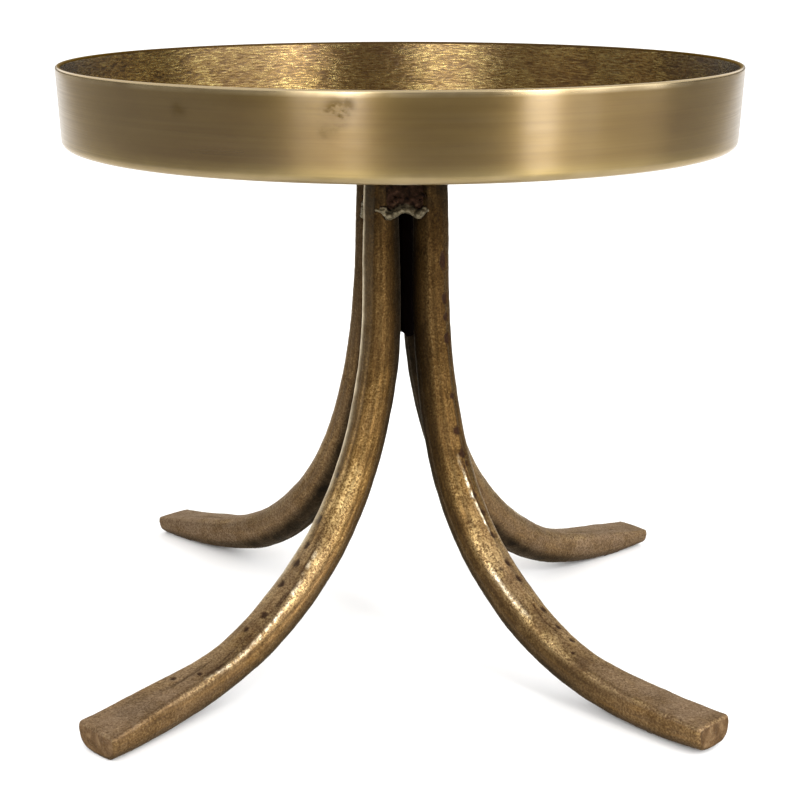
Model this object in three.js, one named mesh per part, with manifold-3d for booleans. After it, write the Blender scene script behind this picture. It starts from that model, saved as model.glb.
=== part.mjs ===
// Brass tray table: a cast round tray on four sabre legs.
// Millimetres, +Z up, the floor at z = 0, the tray centred on the Z axis, the front towards -Y.
import * as THREE from "three";
import { mergeVertices } from "three/addons/utils/BufferGeometryUtils.js";
import Module from "manifold-3d";

const wasm = await Module();
wasm.setup();
const { Manifold, Mesh } = wasm;

// ---------------------------------------------------------------- driving dimensions
const TRAY_R = 199.3; // outer radius of the tray wall at the rim
const TRAY_R_LOW = 197.7; // the wall has a little draft: its outer radius just above the rounded lower edge
const TRAY_TOP = 356; // rim above the floor
const TRAY_UNDER = 310.4; // underside of the tray
const TRAY_FLOOR = 314.4; // upper face of the tray's floor
const TRAY_WALL = 2.8; // wall thickness
const TRAY_FILLET_OUT = 4.5; // rounded lower edge
const TRAY_FILLET_IN = 5; // inside corner between floor and wall
const TRAY_SEGMENTS = 80;

const PAD_R = 60; // cast pad under the middle of the tray
const PAD_UNDER = 305.4;
const PLATE_R = 56; // mounting plate
const PLATE_T = 5;
const GAP = 0.3; // room left between pieces that touch
const PLATE_TOP = PAD_UNDER - GAP;
const PLATE_UNDER = PLATE_TOP - PLATE_T;
const LEG_TOP = PLATE_UNDER - GAP;

const BOLT_CIRCLE_R = 42;
const SCREW_R = 2.5; // M5
const SCREW_HOLE_R = 2.9;
const SCREW_HEAD_R = 4.5;
const SCREW_HEAD_H = 3.2;
const SCREW_TIP = 311.4;
const HOLE_END = 312.6;
const WASHER_R = 5.6;
const WASHER_T = 1;

const CORE_R = 7; // round bar between the legs
const CORE_X = 1.5;
const CORE_UNDER = 191;
const CORE_TOP = LEG_TOP;

// Each leg is a bar whose centreline starts at (x, y) under the plate and sweeps out along azimuth "az".
// turn: the centreline's angle from straight down, in degrees, at 8 equal steps of its length.
// side: how far the bar wanders sideways, at 5 equal steps. w: its width, t: its depth, at SIZE_KNOTS of its length.
const SIZE_KNOTS = [0, 0.25, 0.5, 0.75, 0.88, 1];
const LEGS = {
  leg_front_left: {
    x: -11.4, y: -16.5, az: -133.3, length: 430.7,
    turn: [0, -0.6, 8.8, 24.0, 45.0, 63.2, 83.0, 87.6],
    side: [0, 0, -2.0, -1.2, 2.1],
    w: [15.5, 18.3, 20.5, 21.9, 27.1, 32.4],
    t: [16.3, 20.8, 20.9, 21.4, 21.0, 15.2],
  },
  leg_front_right: {
    x: 17.7, y: -15.8, az: -46.75, length: 428.3,
    turn: [1.6, 1.6, 8.7, 21.2, 42.4, 62.4, 82.7, 92.5],
    side: [0, -1.2, -2.7, -3.5, 1.9],
    w: [16.8, 16.8, 21.1, 21.0, 25.2, 27.8],
    t: [17.5, 20.2, 21.6, 22.0, 20.9, 15.0],
  },
  leg_rear_left: {
    x: -16.5, y: 16.2, az: 133.3, length: 431.8,
    turn: [1.0, 1.9, 10.2, 22.9, 40.8, 59.8, 79.2, 87.6],
    side: [0, -0.6, -1.6, -3.6, 0.8],
    w: [15.8, 16.6, 19.8, 21.8, 25.2, 26.6],
    t: [15.8, 20.0, 21.6, 24.0, 20.6, 12.2],
  },
  leg_rear_right: {
    x: 13.9, y: 15.1, az: 40.8, length: 427.4,
    turn: [-1.0, -1.6, 8.0, 19.9, 38.8, 58.4, 81.4, 88.6],
    side: [0, 0.5, -0.5, 0, 0.3],
    w: [15.8, 16.9, 19.5, 21.8, 25.8, 26.4],
    t: [16.4, 20.0, 21.0, 22.6, 19.8, 11.2],
  },
};
const LEG_STEPS = 26; // sections along a leg
const SOLE = 0.6; // the sole is dressed flat: everything lower than this sits on the floor

// ---------------------------------------------------------------- materials
const antiqueBrass = () => new THREE.MeshStandardMaterial({ color: 0x9a8052, roughness: 0.34, metalness: 1 });
const castBronze = () => new THREE.MeshStandardMaterial({ color: 0x6b5433, roughness: 0.46, metalness: 1 });
const weldMetal = () => new THREE.MeshStandardMaterial({ color: 0x75684e, roughness: 0.5, metalness: 1 });
const plateMetal = () => new THREE.MeshStandardMaterial({ color: 0x5c4a30, roughness: 0.5, metalness: 1 });
const zincSteel = () => new THREE.MeshStandardMaterial({ color: 0x9b9a94, roughness: 0.35, metalness: 1 });

// ---------------------------------------------------------------- helpers
function solid(geometry) {
  const g = geometry.clone();
  for (const name of Object.keys(g.attributes)) if (name !== "position") g.deleteAttribute(name);
  const merged = mergeVertices(g, 1e-4);
  const mesh = new Mesh({
    numProp: 3,
    vertProperties: Float32Array.from(merged.attributes.position.array),
    triVerts: Uint32Array.from(merged.index.array),
  });
  mesh.merge();
  return new Manifold(mesh);
}

function geometryOf(body) {
  const mesh = body.getMesh();
  const geometry = new THREE.BufferGeometry();
  const points = new Float32Array((mesh.vertProperties.length / mesh.numProp) * 3);
  for (let i = 0; i < points.length / 3; i++)
    for (let k = 0; k < 3; k++) points[3 * i + k] = mesh.vertProperties[i * mesh.numProp + k];
  geometry.setAttribute("position", new THREE.BufferAttribute(points, 3));
  geometry.setIndex(new THREE.BufferAttribute(Uint32Array.from(mesh.triVerts), 1));
  geometry.computeVertexNormals();
  return geometry;
}

// Monotone curve through values at the given knots (equally spaced if none are given), 0 <= s <= 1.
function ramp(values, knots) {
  const n = values.length;
  const at = knots || values.map((_, i) => i / (n - 1));
  const h = [];
  const d = [];
  for (let i = 0; i < n - 1; i++) {
    h.push(at[i + 1] - at[i]);
    d.push((values[i + 1] - values[i]) / h[i]);
  }
  const m = [];
  for (let i = 0; i < n; i++) {
    if (i === 0) m.push(d[0]);
    else if (i === n - 1) m.push(d[n - 2]);
    else if (d[i - 1] * d[i] <= 0) m.push(0);
    else {
      const p = 2 * h[i] + h[i - 1];
      const q = h[i] + 2 * h[i - 1];
      m.push((p + q) / (p / d[i - 1] + q / d[i]));
    }
  }
  return (s) => {
    let i = 0;
    while (i < n - 2 && s > at[i + 1]) i++;
    const u = (s - at[i]) / h[i];
    const a = 2 * u ** 3 - 3 * u ** 2 + 1;
    const b = u ** 3 - 2 * u ** 2 + u;
    const c = -2 * u ** 3 + 3 * u ** 2;
    const e = u ** 3 - u ** 2;
    return a * values[i] + b * h[i] * m[i] + c * values[i + 1] + e * h[i] * m[i + 1];
  };
}

// The stations along one leg: centre, radial, sideways and outward directions, width, depth.
function stations(leg) {
  const turn = ramp(leg.turn);
  const side = ramp(leg.side);
  const wide = ramp(leg.w, SIZE_KNOTS);
  const deep = ramp(leg.t, SIZE_KNOTS);
  const fine = 400;
  const rows = [];
  let rho = 0;
  let z = 0;
  for (let i = 0; i <= fine; i++) {
    const s = i / fine;
    const a = THREE.MathUtils.degToRad(turn(s));
    if (i > 0) {
      const mid = THREE.MathUtils.degToRad((turn(s) + turn((i - 1) / fine)) / 2);
      rho += (Math.sin(mid) * leg.length) / fine;
      z -= (Math.cos(mid) * leg.length) / fine;
    }
    rows.push({ s, a, rho, z, q: side(s), w: wide(s), t: deep(s) });
  }
  const low = Math.min(...rows.map((r) => r.z - (r.t / 2) * Math.abs(Math.sin(r.a))));
  for (const r of rows) r.z -= low;
  // cut or lengthen the straight top so that it ends under the plate
  let used = rows.filter((r) => r.z < LEG_TOP - 0.5);
  used.unshift({ ...used[0], s: 0, a: 0, z: LEG_TOP });
  // even stations, a little closer together towards the foot
  const picked = [];
  for (let i = 0; i <= LEG_STEPS; i++) {
    const f = i / LEG_STEPS;
    const k = f * 0.8 + 0.2 * (1 - (1 - f) ** 2);
    picked.push(used[Math.round(k * (used.length - 1))]);
  }
  return picked;
}

// Rounded-rectangle bar section, unit size, bent along the leg.
function legGeometry(leg, grow = 0) {
  const rows = stations(leg);
  const section = new THREE.Shape();
  const r = 0.24;
  section.absarc(0.5 - r, 0.5 - r, r, 0, Math.PI / 2);
  section.absarc(-0.5 + r, 0.5 - r, r, Math.PI / 2, Math.PI);
  section.absarc(-0.5 + r, -0.5 + r, r, Math.PI, 1.5 * Math.PI);
  section.absarc(0.5 - r, -0.5 + r, r, 1.5 * Math.PI, 2 * Math.PI);
  const g = new THREE.ExtrudeGeometry(section, { depth: LEG_STEPS, steps: LEG_STEPS, bevelEnabled: false, curveSegments: 2 });
  const az = THREE.MathUtils.degToRad(leg.az);
  const rad = new THREE.Vector3(Math.cos(az), Math.sin(az), 0);
  const lat = new THREE.Vector3(-Math.sin(az), Math.cos(az), 0);
  const up = new THREE.Vector3(0, 0, 1);
  const p = g.attributes.position;
  for (let i = 0; i < p.count; i++) {
    const k = Math.round(p.getZ(i));
    const row = rows[k];
    // the corner radius follows the smaller of width and depth
    const small = Math.min(row.w, row.t);
    const stretch = (c, full) => {
      const inner = 0.5 - r;
      const side = Math.sign(c);
      const over = Math.max(0, Math.abs(c) - inner);
      const flat = Math.min(Math.abs(c), inner) / inner;
      return side * (flat * (full / 2 - r * small) + over * small) + side * grow * (Math.abs(c) > inner * 0.5 ? 1 : 0);
    };
    const u = stretch(p.getX(i), row.w);
    const v = stretch(p.getY(i), row.t);
    const nrm = rad.clone().multiplyScalar(Math.cos(row.a)).addScaledVector(up, Math.sin(row.a));
    const at = new THREE.Vector3(leg.x, leg.y, 0)
      .addScaledVector(rad, row.rho)
      .addScaledVector(up, row.z)
      .addScaledVector(lat, row.q + u)
      .addScaledVector(nrm, v);
    if (grow > 0 && k === 0) at.z += 2;
    if (grow === 0 && at.z < SOLE) at.z = 0;
    p.setXYZ(i, at.x, at.y, at.z);
  }
  return g;
}

// Straight round bar between two heights.
function rod(x, y, r, z0, z1, sides = 16) {
  const g = new THREE.CylinderGeometry(r, r, z1 - z0, sides);
  g.rotateX(Math.PI / 2);
  g.translate(x, y, (z0 + z1) / 2);
  return g;
}

const table = new THREE.Group();
function add(name, geometry, material) {
  const mesh = new THREE.Mesh(geometry, material);
  mesh.name = name;
  table.add(mesh);
  return mesh;
}

// ---------------------------------------------------------------- tray
const bolts = [0, 1, 2, 3].map((k) => {
  const a = (k * Math.PI) / 2;
  return [BOLT_CIRCLE_R * Math.cos(a), BOLT_CIRCLE_R * Math.sin(a)];
});

function trayProfile() {
  const pts = [];
  const put = (r, z) => pts.push(new THREE.Vector2(r, z));
  put(0, PAD_UNDER);
  put(PAD_R, PAD_UNDER);
  put(PAD_R + 0.8, PAD_UNDER + 0.8);
  put(PAD_R + 1.6, TRAY_UNDER);
  const ro = TRAY_FILLET_OUT;
  for (let i = 0; i <= 5; i++) {
    const a = (i / 5) * (Math.PI / 2);
    put(TRAY_R_LOW - ro + ro * Math.sin(a), TRAY_UNDER + ro - ro * Math.cos(a));
  }
  const rim = TRAY_WALL / 2;
  for (let i = 0; i <= 4; i++) {
    const a = (i / 4) * Math.PI;
    put(TRAY_R - rim + rim * Math.cos(a), TRAY_TOP - rim + rim * Math.sin(a));
  }
  const ri = TRAY_FILLET_IN;
  const inner = TRAY_R_LOW - TRAY_WALL;
  for (let i = 0; i <= 4; i++) {
    const a = (i / 4) * (Math.PI / 2);
    put(inner - ri + ri * Math.cos(a), TRAY_FLOOR + ri - ri * Math.sin(a));
  }
  put(0, TRAY_FLOOR);
  return pts;
}
const trayLathe = new THREE.LatheGeometry(trayProfile(), TRAY_SEGMENTS);
trayLathe.rotateX(Math.PI / 2);
let tray = solid(trayLathe);
for (const [x, y] of bolts) tray = tray.subtract(solid(rod(x, y, SCREW_HOLE_R, PAD_UNDER - 2, HOLE_END)));
add("tray", geometryOf(tray), antiqueBrass());

// ---------------------------------------------------------------- legs
const fatLegs = {};
for (const [name, leg] of Object.entries(LEGS)) {
  add(name, legGeometry(leg), castBronze());
  fatLegs[name] = solid(legGeometry(leg, GAP));
}

// ---------------------------------------------------------------- core bar between the leg tops
let core = solid(rod(CORE_X, 0, CORE_R, CORE_UNDER, CORE_TOP, 24));
for (const fat of Object.values(fatLegs)) core = core.subtract(fat);
add("hub_core", geometryOf(core), weldMetal());
const fatCore = solid(rod(CORE_X, 0, CORE_R + GAP, CORE_UNDER - 2, CORE_TOP + 2, 24));

// ---------------------------------------------------------------- welds in the four grooves between the legs
// Each weld fills the groove between two legs. Its lower end hangs in two lobes with an arch between them.
function grooveWeld(first, second, toward, heights) {
  const a = LEGS[first];
  const b = LEGS[second];
  const dir = new THREE.Vector2(Math.cos(toward), Math.sin(toward));
  const across = new THREE.Vector2(-dir.y, dir.x);
  const reach = (leg) => ((leg.w[0] + leg.t[0]) / 2 / Math.SQRT2) * 0.9;
  const pa = new THREE.Vector2(a.x, a.y).addScaledVector(dir, reach(a));
  const pb = new THREE.Vector2(b.x, b.y).addScaledVector(dir, reach(b));
  const ua = pa.dot(across);
  const ub = pb.dot(across);
  const front = Math.min(pa.dot(dir), pb.dot(dir));
  const [lo, hi] = ua < ub ? [ua, ub] : [ub, ua];
  const mid = (lo + hi) / 2;
  // plan outline, in (across, dir): a dished front face and a back inside the groove
  const plan = new THREE.Shape();
  plan.moveTo(lo + 0.5, front - 0.4);
  plan.quadraticCurveTo(mid, front - 6.5, hi - 0.5, front - 0.4);
  plan.lineTo(hi - 3, front - 8);
  plan.lineTo(mid + 3, 14);
  plan.lineTo(mid + 2.5, CORE_R - 2);
  plan.lineTo(mid - 2.5, CORE_R - 2);
  plan.lineTo(mid - 3, 14);
  plan.lineTo(lo + 3, front - 8);
  plan.closePath();
  const slab = new THREE.ExtrudeGeometry(plan, { depth: 60, bevelEnabled: false, curveSegments: 6 });
  slab.translate(0, 0, 245);
  // outline seen from outside, in (across, z)
  const [edgeLo, lobeLo, arch, lobeHi, edgeHi] = heights;
  const w = hi - lo;
  const look = new THREE.Shape();
  look.moveTo(lo - 3, PLATE_UNDER - GAP);
  look.lineTo(lo - 3, edgeLo);
  look.splineThru([
    new THREE.Vector2(lo + 0.1 * w, edgeLo - 1.5),
    new THREE.Vector2(lo + 0.27 * w, lobeLo),
    new THREE.Vector2(mid + 0.02 * w, arch),
    new THREE.Vector2(lo + 0.76 * w, lobeHi),
    new THREE.Vector2(hi - 0.08 * w, edgeHi - 1.5),
    new THREE.Vector2(hi + 3, edgeHi),
  ]);
  look.lineTo(hi + 3, PLATE_UNDER - GAP);
  look.closePath();
  const bar = new THREE.ExtrudeGeometry(look, { depth: 60, bevelEnabled: false, curveSegments: 12 });
  bar.rotateX(Math.PI / 2);
  bar.translate(0, 60, 0);
  let body = solid(slab).intersect(solid(bar));
  const turned = (m) => m.rotate([0, 0, THREE.MathUtils.radToDeg(toward) - 90]);
  body = turned(body.mirror([1, 0, 0]));
  body = body.subtract(fatLegs[first]).subtract(fatLegs[second]).subtract(fatCore);
  // keep the largest body if the trimming left a crumb
  const pieces = body.decompose().sort((p, q) => q.volume() - p.volume());
  return pieces[0];
}
const WELDS = {
  weld_front: ["leg_front_left", "leg_front_right", -Math.PI / 2, [274, 266.5, 275, 269.5, 274]],
  weld_right: ["leg_front_right", "leg_rear_right", 0, [273, 268, 276, 267, 273.5]],
  weld_rear: ["leg_rear_right", "leg_rear_left", Math.PI / 2, [274, 267.5, 275.5, 268.5, 273]],
  weld_left: ["leg_rear_left", "leg_front_left", Math.PI, [273.5, 268.5, 276, 267, 274]],
};
const weldBodies = {};
for (const [name, [first, second, toward, heights]] of Object.entries(WELDS)) {
  const body = grooveWeld(first, second, toward, heights);
  weldBodies[name] = body;
  add(name, geometryOf(body), weldMetal());
}

// ---------------------------------------------------------------- mounting plate
let plate = solid(rod(0, 0, PLATE_R, PLATE_UNDER, PLATE_TOP, 48));
for (const [x, y] of bolts) plate = plate.subtract(solid(rod(x, y, SCREW_HOLE_R, PLATE_UNDER - 2, PLATE_TOP + 2)));
add("mounting_plate", geometryOf(plate), plateMetal());

// ---------------------------------------------------------------- fillets between leg tops and plate
Object.entries(LEGS).forEach(([name, leg], k) => {
  const size = 6;
  const outline = new THREE.Shape();
  outline.moveTo(0, 0);
  outline.lineTo(size, 0);
  outline.quadraticCurveTo(1.6, -1.6, 0, -size);
  outline.closePath();
  const g = new THREE.ExtrudeGeometry(outline, { depth: leg.w[0] - 3, bevelEnabled: false, curveSegments: 6 });
  g.translate(0, 0, -(leg.w[0] - 3) / 2);
  g.rotateX(Math.PI / 2);
  g.rotateZ(THREE.MathUtils.degToRad(leg.az));
  const az = THREE.MathUtils.degToRad(leg.az);
  const reach = leg.t[0] / 2 + 0.1;
  g.translate(leg.x + reach * Math.cos(az), leg.y + reach * Math.sin(az), PLATE_UNDER - GAP);
  const body = solid(g).subtract(fatLegs[name]);
  add("plate_weld_" + (k + 1), geometryOf(body.decompose().sort((p, q) => q.volume() - p.volume())[0]), weldMetal());
});

// ---------------------------------------------------------------- screws and washers
bolts.forEach(([x, y], k) => {
  const washerTop = PLATE_UNDER - GAP;
  const washerUnder = washerTop - WASHER_T;
  const washer = solid(rod(x, y, WASHER_R, washerUnder, washerTop)).subtract(
    solid(rod(x, y, SCREW_HOLE_R, washerUnder - 1, washerTop + 1)),
  );
  add("plate_washer_" + (k + 1), geometryOf(washer), zincSteel());
  const headTop = washerUnder - GAP;
  const headUnder = headTop - SCREW_HEAD_H;
  // shank and domed head turned in one profile, head down
  const profile = [
    [0, headUnder], [SCREW_HEAD_R * 0.62, headUnder], [SCREW_HEAD_R * 0.9, headUnder + 0.9], [SCREW_HEAD_R, headUnder + 2],
    [SCREW_HEAD_R, headTop], [SCREW_R, headTop], [SCREW_R, SCREW_TIP - 0.6], [SCREW_R - 0.6, SCREW_TIP], [0, SCREW_TIP],
  ].map(([r, z]) => new THREE.Vector2(r, z));
  const turned = new THREE.LatheGeometry(profile, 16);
  turned.rotateX(Math.PI / 2);
  turned.translate(x, y, 0);
  const screw = solid(turned).subtract(solid(rod(x, y, 1.7, headUnder - 1, headUnder + 2, 6)));
  add("plate_screw_" + (k + 1), geometryOf(screw), zincSteel());
});

export default table;
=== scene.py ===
import math

import bmesh
import bpy
import numpy as np
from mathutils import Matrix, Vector


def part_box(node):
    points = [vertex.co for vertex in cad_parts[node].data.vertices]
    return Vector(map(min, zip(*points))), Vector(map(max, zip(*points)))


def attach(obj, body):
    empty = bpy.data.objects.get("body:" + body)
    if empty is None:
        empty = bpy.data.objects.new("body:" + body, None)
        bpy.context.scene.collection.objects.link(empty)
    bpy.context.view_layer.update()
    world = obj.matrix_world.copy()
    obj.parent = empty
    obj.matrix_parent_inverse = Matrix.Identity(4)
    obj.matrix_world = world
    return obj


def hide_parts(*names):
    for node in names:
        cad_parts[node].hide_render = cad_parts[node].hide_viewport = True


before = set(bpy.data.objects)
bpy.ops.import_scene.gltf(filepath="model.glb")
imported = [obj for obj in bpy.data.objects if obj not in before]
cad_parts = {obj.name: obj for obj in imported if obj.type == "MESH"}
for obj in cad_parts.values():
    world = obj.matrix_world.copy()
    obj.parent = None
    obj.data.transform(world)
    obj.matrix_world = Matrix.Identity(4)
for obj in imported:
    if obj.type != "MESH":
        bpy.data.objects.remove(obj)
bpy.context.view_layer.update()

MM = 0.001

# ---------------------------------------------------------------- dimensions, in millimetres, as in the CAD
TRAY_R, TRAY_R_LOW, TRAY_TOP, TRAY_UNDER, TRAY_FLOOR, TRAY_WALL = 199.3, 197.7, 356.0, 310.4, 314.4, 2.8
PAD_R, PAD_UNDER = 60.0, 305.4
PLATE_R, PLATE_UNDER, PLATE_TOP, LEG_TOP = 56.0, 300.1, 305.1, 299.8
BOLT_R = 42.0

SIZE_KNOTS = [0, 0.25, 0.5, 0.75, 0.88, 1]
LEGS = {
    "leg_front_left": dict(
        x=-11.4, y=-16.5, az=-133.3, length=430.7,
        turn=[0, -0.6, 8.8, 24.0, 45.0, 63.2, 83.0, 87.6], side=[0, 0, -2.0, -1.2, 2.1],
        w=[15.5, 18.3, 20.5, 21.9, 27.1, 32.4], t=[16.3, 20.8, 20.9, 21.4, 21.0, 15.2],
    ),
    "leg_front_right": dict(
        x=17.7, y=-15.8, az=-46.75, length=428.3,
        turn=[1.6, 1.6, 8.7, 21.2, 42.4, 62.4, 82.7, 92.5], side=[0, -1.2, -2.7, -3.5, 1.9],
        w=[16.8, 16.8, 21.1, 21.0, 25.2, 27.8], t=[17.5, 20.2, 21.6, 22.0, 20.9, 15.0],
    ),
    "leg_rear_left": dict(
        x=-16.5, y=16.2, az=133.3, length=431.8,
        turn=[1.0, 1.9, 10.2, 22.9, 40.8, 59.8, 79.2, 87.6], side=[0, -0.6, -1.6, -3.6, 0.8],
        w=[15.8, 16.6, 19.8, 21.8, 25.2, 26.6], t=[15.8, 20.0, 21.6, 24.0, 20.6, 12.2],
    ),
    "leg_rear_right": dict(
        x=13.9, y=15.1, az=40.8, length=427.4,
        turn=[-1.0, -1.6, 8.0, 19.9, 38.8, 58.4, 81.4, 88.6], side=[0, 0.5, -0.5, 0, 0.3],
        w=[15.8, 16.9, 19.5, 21.8, 25.8, 26.4], t=[16.4, 20.0, 21.0, 22.6, 19.8, 11.2],
    ),
}
# Casting pits in a row down the outer face: along the leg (0..1), across it (-1..1), half length, half width, depth.
PITS = {
    "leg_front_right": [
        (0.137, 0.02, 5.6, 2.5, 0.55), (0.190, 0.10, 3.4, 2.2, 0.5), (0.217, 0.13, 3.0, 2.2, 0.5), (0.248, 0.12, 3.6, 2.4, 0.5),
        (0.332, 0.04, 2.4, 1.7, 0.45), (0.383, -0.02, 3.0, 2.2, 0.55), (0.418, 0.02, 3.2, 2.3, 0.55), (0.434, 0.16, 2.0, 1.6, 0.4),
        (0.483, 0.0, 2.8, 2.0, 0.5), (0.512, 0.2, 2.8, 2.1, 0.5), (0.550, 0.18, 3.0, 2.1, 0.55), (0.598, 0.12, 2.7, 1.9, 0.5),
        (0.603, -0.5, 1.6, 1.3, 0.4), (0.627, 0.16, 2.6, 2.0, 0.45), (0.687, 0.3, 2.8, 2.0, 0.5), (0.723, 0.2, 2.1, 1.7, 0.4),
        (0.752, 0.24, 2.2, 1.8, 0.45), (0.772, -0.45, 1.5, 1.2, 0.4),
    ],
    "leg_front_left": [
        (0.45, -0.3, 2.5, 1.8, 0.45), (0.523, -0.25, 3.4, 2.3, 0.55), (0.567, -0.15, 3.1, 2.2, 0.5), (0.598, -0.05, 2.9, 2.1, 0.5),
        (0.637, -0.1, 3.0, 2.1, 0.5), (0.692, 0.3, 2.5, 1.8, 0.45), (0.725, 0.05, 2.2, 1.7, 0.4), (0.86, -0.35, 2.1, 1.8, 0.4),
        (0.83, 0.42, 1.8, 1.6, 0.35),
    ],
    "leg_rear_left": [(0.463, 0.2, 2.2, 1.6, 0.5), (0.30, 0.1, 1.8, 1.4, 0.4), (0.61, -0.2, 2.0, 1.5, 0.45)],
    "leg_rear_right": [(0.41, -0.1, 2.0, 1.5, 0.45), (0.56, 0.15, 1.8, 1.4, 0.4), (0.70, -0.3, 2.1, 1.5, 0.45)],
}
# Seams: from, to along the leg, place across the outer face (-1..1), half width, depth.
SEAMS = {
    "leg_front_left": [(0.585, 0.80, 0.52, 0.55, 0.30), (0.80, 0.90, 0.10, 0.9, 0.18)],
    "leg_front_right": [(0.66, 0.74, -0.2, 0.6, 0.2)],
    "leg_rear_right": [(0.83, 0.94, -0.35, 0.8, 0.25)],
    "leg_rear_left": [(0.84, 0.93, 0.3, 0.8, 0.25)],
}
# Painted highlights, sharp bright lines: (along, across) points, half width; each has a thin crease on its other side.
GLINTS = {
    "leg_front_right": [([(0.425, -0.32), (0.44, -0.26), (0.457, -0.20), (0.487, -0.12), (0.52, -0.05), (0.545, 0.02)], 0.50), ([(0.592, -0.95), (0.632, -0.90), (0.660, -0.86), (0.688, -0.82)], 0.55)],
    "leg_front_left": [([(0.545, 0.55), (0.567, 0.62), (0.62, 0.76), (0.665, 0.88), (0.70, 0.90), (0.762, 0.92), (0.805, 0.88), (0.84, 0.78)], 0.42)],
    "leg_rear_left": [([(0.42, 0.5), (0.55, 0.62), (0.66, 0.7)], 0.7)],
    "leg_rear_right": [([(0.40, -0.5), (0.52, -0.62), (0.68, -0.7)], 0.7)],
}
# Height of the lower edge of each weld across its groove: edge, lobe, arch, lobe, edge.
WELDS = {
    "weld_front": ("leg_front_left", "leg_front_right", -90, [274, 266.5, 275, 269.5, 274]),
    "weld_right": ("leg_front_right", "leg_rear_right", 0, [273, 268, 276, 267, 273.5]),
    "weld_rear": ("leg_rear_right", "leg_rear_left", 90, [274, 267.5, 275.5, 268.5, 273]),
    "weld_left": ("leg_rear_left", "leg_front_left", 180, [273.5, 268.5, 276, 267, 274]),
}


# ---------------------------------------------------------------- numeric helpers
class Noise:
    """Gradient noise, about -1 to 1, the same on every run."""

    def __init__(self, seed):
        rng = np.random.RandomState(seed)
        self.p = np.concatenate([rng.permutation(256)] * 3)
        g = rng.normal(size=(256, 3))
        self.g = g / np.linalg.norm(g, axis=1)[:, None]

    def __call__(self, points):
        points = np.asarray(points, float)
        shape = points.shape[:-1]
        points = points.reshape(-1, 3)
        cell = np.floor(points).astype(int)
        f = points - cell
        cell &= 255
        u = f * f * f * (f * (f * 6 - 15) + 10)
        out = np.zeros(len(points))
        for dx in (0, 1):
            for dy in (0, 1):
                for dz in (0, 1):
                    h = self.p[self.p[self.p[(cell[:, 0] + dx) & 255] + ((cell[:, 1] + dy) & 255)] + ((cell[:, 2] + dz) & 255)]
                    dot = (self.g[h] * (f - [dx, dy, dz])).sum(1)
                    w = (u[:, 0] if dx else 1 - u[:, 0]) * (u[:, 1] if dy else 1 - u[:, 1]) * (u[:, 2] if dz else 1 - u[:, 2])
                    out += dot * w
        return (out * 1.7).reshape(shape)

    def fbm(self, points, octaves=4, gain=0.5):
        points = np.asarray(points, float)
        total, amp = 0, 1.0
        for k in range(octaves):
            total = total + amp * self(points * 2.03**k + 17.3 * k)
            amp *= gain
        return total


def ramp(values, knots=None):
    """Monotone curve through values at the given knots, equally spaced if none are given."""
    y = np.array(values, float)
    at = np.array(knots if knots is not None else np.linspace(0, 1, len(y)), float)
    h, d = np.diff(at), np.diff(y) / np.diff(at)
    m = np.zeros(len(y))
    m[0], m[-1] = d[0], d[-1]
    for i in range(1, len(y) - 1):
        if d[i - 1] * d[i] > 0:
            p, q = 2 * h[i] + h[i - 1], h[i] + 2 * h[i - 1]
            m[i] = (p + q) / (p / d[i - 1] + q / d[i])

    def f(s):
        s = np.asarray(s, float)
        i = np.clip(np.searchsorted(at, s, side="right") - 1, 0, len(y) - 2)
        u = (s - at[i]) / h[i]
        return (
            (2 * u**3 - 3 * u**2 + 1) * y[i] + (u**3 - 2 * u**2 + u) * h[i] * m[i]
            + (-2 * u**3 + 3 * u**2) * y[i + 1] + (u**3 - u**2) * h[i] * m[i + 1]
        )

    return f


def smooth(a, b, x):
    u = np.clip((np.asarray(x, float) - a) / (b - a), 0, 1)
    return u * u * (3 - 2 * u)


# ---------------------------------------------------------------- mesh helpers
def make_object(name, verts, faces, smooth_shade=True):
    """verts in millimetres"""
    me = bpy.data.meshes.new(name)
    me.from_pydata((np.asarray(verts) * MM).tolist(), [], faces)
    me.validate()
    me.polygons.foreach_set("use_smooth", [smooth_shade] * len(me.polygons))
    me.update()
    ob = bpy.data.objects.new(name, me)
    bpy.context.scene.collection.objects.link(ob)
    return ob


def put_attribute(ob, name, values):
    values = np.asarray(values, np.float32)
    kind = "FLOAT" if values.ndim == 1 else "FLOAT_VECTOR"
    a = ob.data.attributes.new(name, kind, "POINT")
    a.data.foreach_set("value" if values.ndim == 1 else "vector", values.reshape(-1))


def ring_faces(rows, cols, start=0):
    """Quads between closed rings, wound so that they face outwards for rings that run counter-clockwise going up."""
    faces = []
    for i in range(rows - 1):
        a, b = start + i * cols, start + (i + 1) * cols
        for j in range(cols):
            k = (j + 1) % cols
            faces.append((a + j, a + k, b + k, b + j))
    return faces


def lathe(name, profile, segments, phase=0.0):
    """Turns a profile of (radius, height) points, in millimetres, about the Z axis. Radius 0 ends become a single point."""
    profile = np.asarray(profile, float)
    open_start, open_end = profile[0, 0] < 1e-6, profile[-1, 0] < 1e-6
    body = profile[(1 if open_start else 0):(len(profile) - 1 if open_end else len(profile))]
    ang = phase + np.arange(segments) * 2 * np.pi / segments
    v = np.zeros((len(body), segments, 3))
    v[..., 0] = body[:, 0, None] * np.cos(ang)
    v[..., 1] = body[:, 0, None] * np.sin(ang)
    v[..., 2] = body[:, 1, None]
    verts = v.reshape(-1, 3)
    faces = ring_faces(len(body), segments)
    if open_start:
        verts = np.vstack([verts, [0, 0, profile[0, 1]]])
        c = len(verts) - 1
        faces += [(c, (j + 1) % segments, j) for j in range(segments)]
    if open_end:
        verts = np.vstack([verts, [0, 0, profile[-1, 1]]])
        c, b = len(verts) - 1, (len(body) - 1) * segments
        faces += [(c, b + j, b + (j + 1) % segments) for j in range(segments)]
    return verts, faces, v.shape


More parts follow.
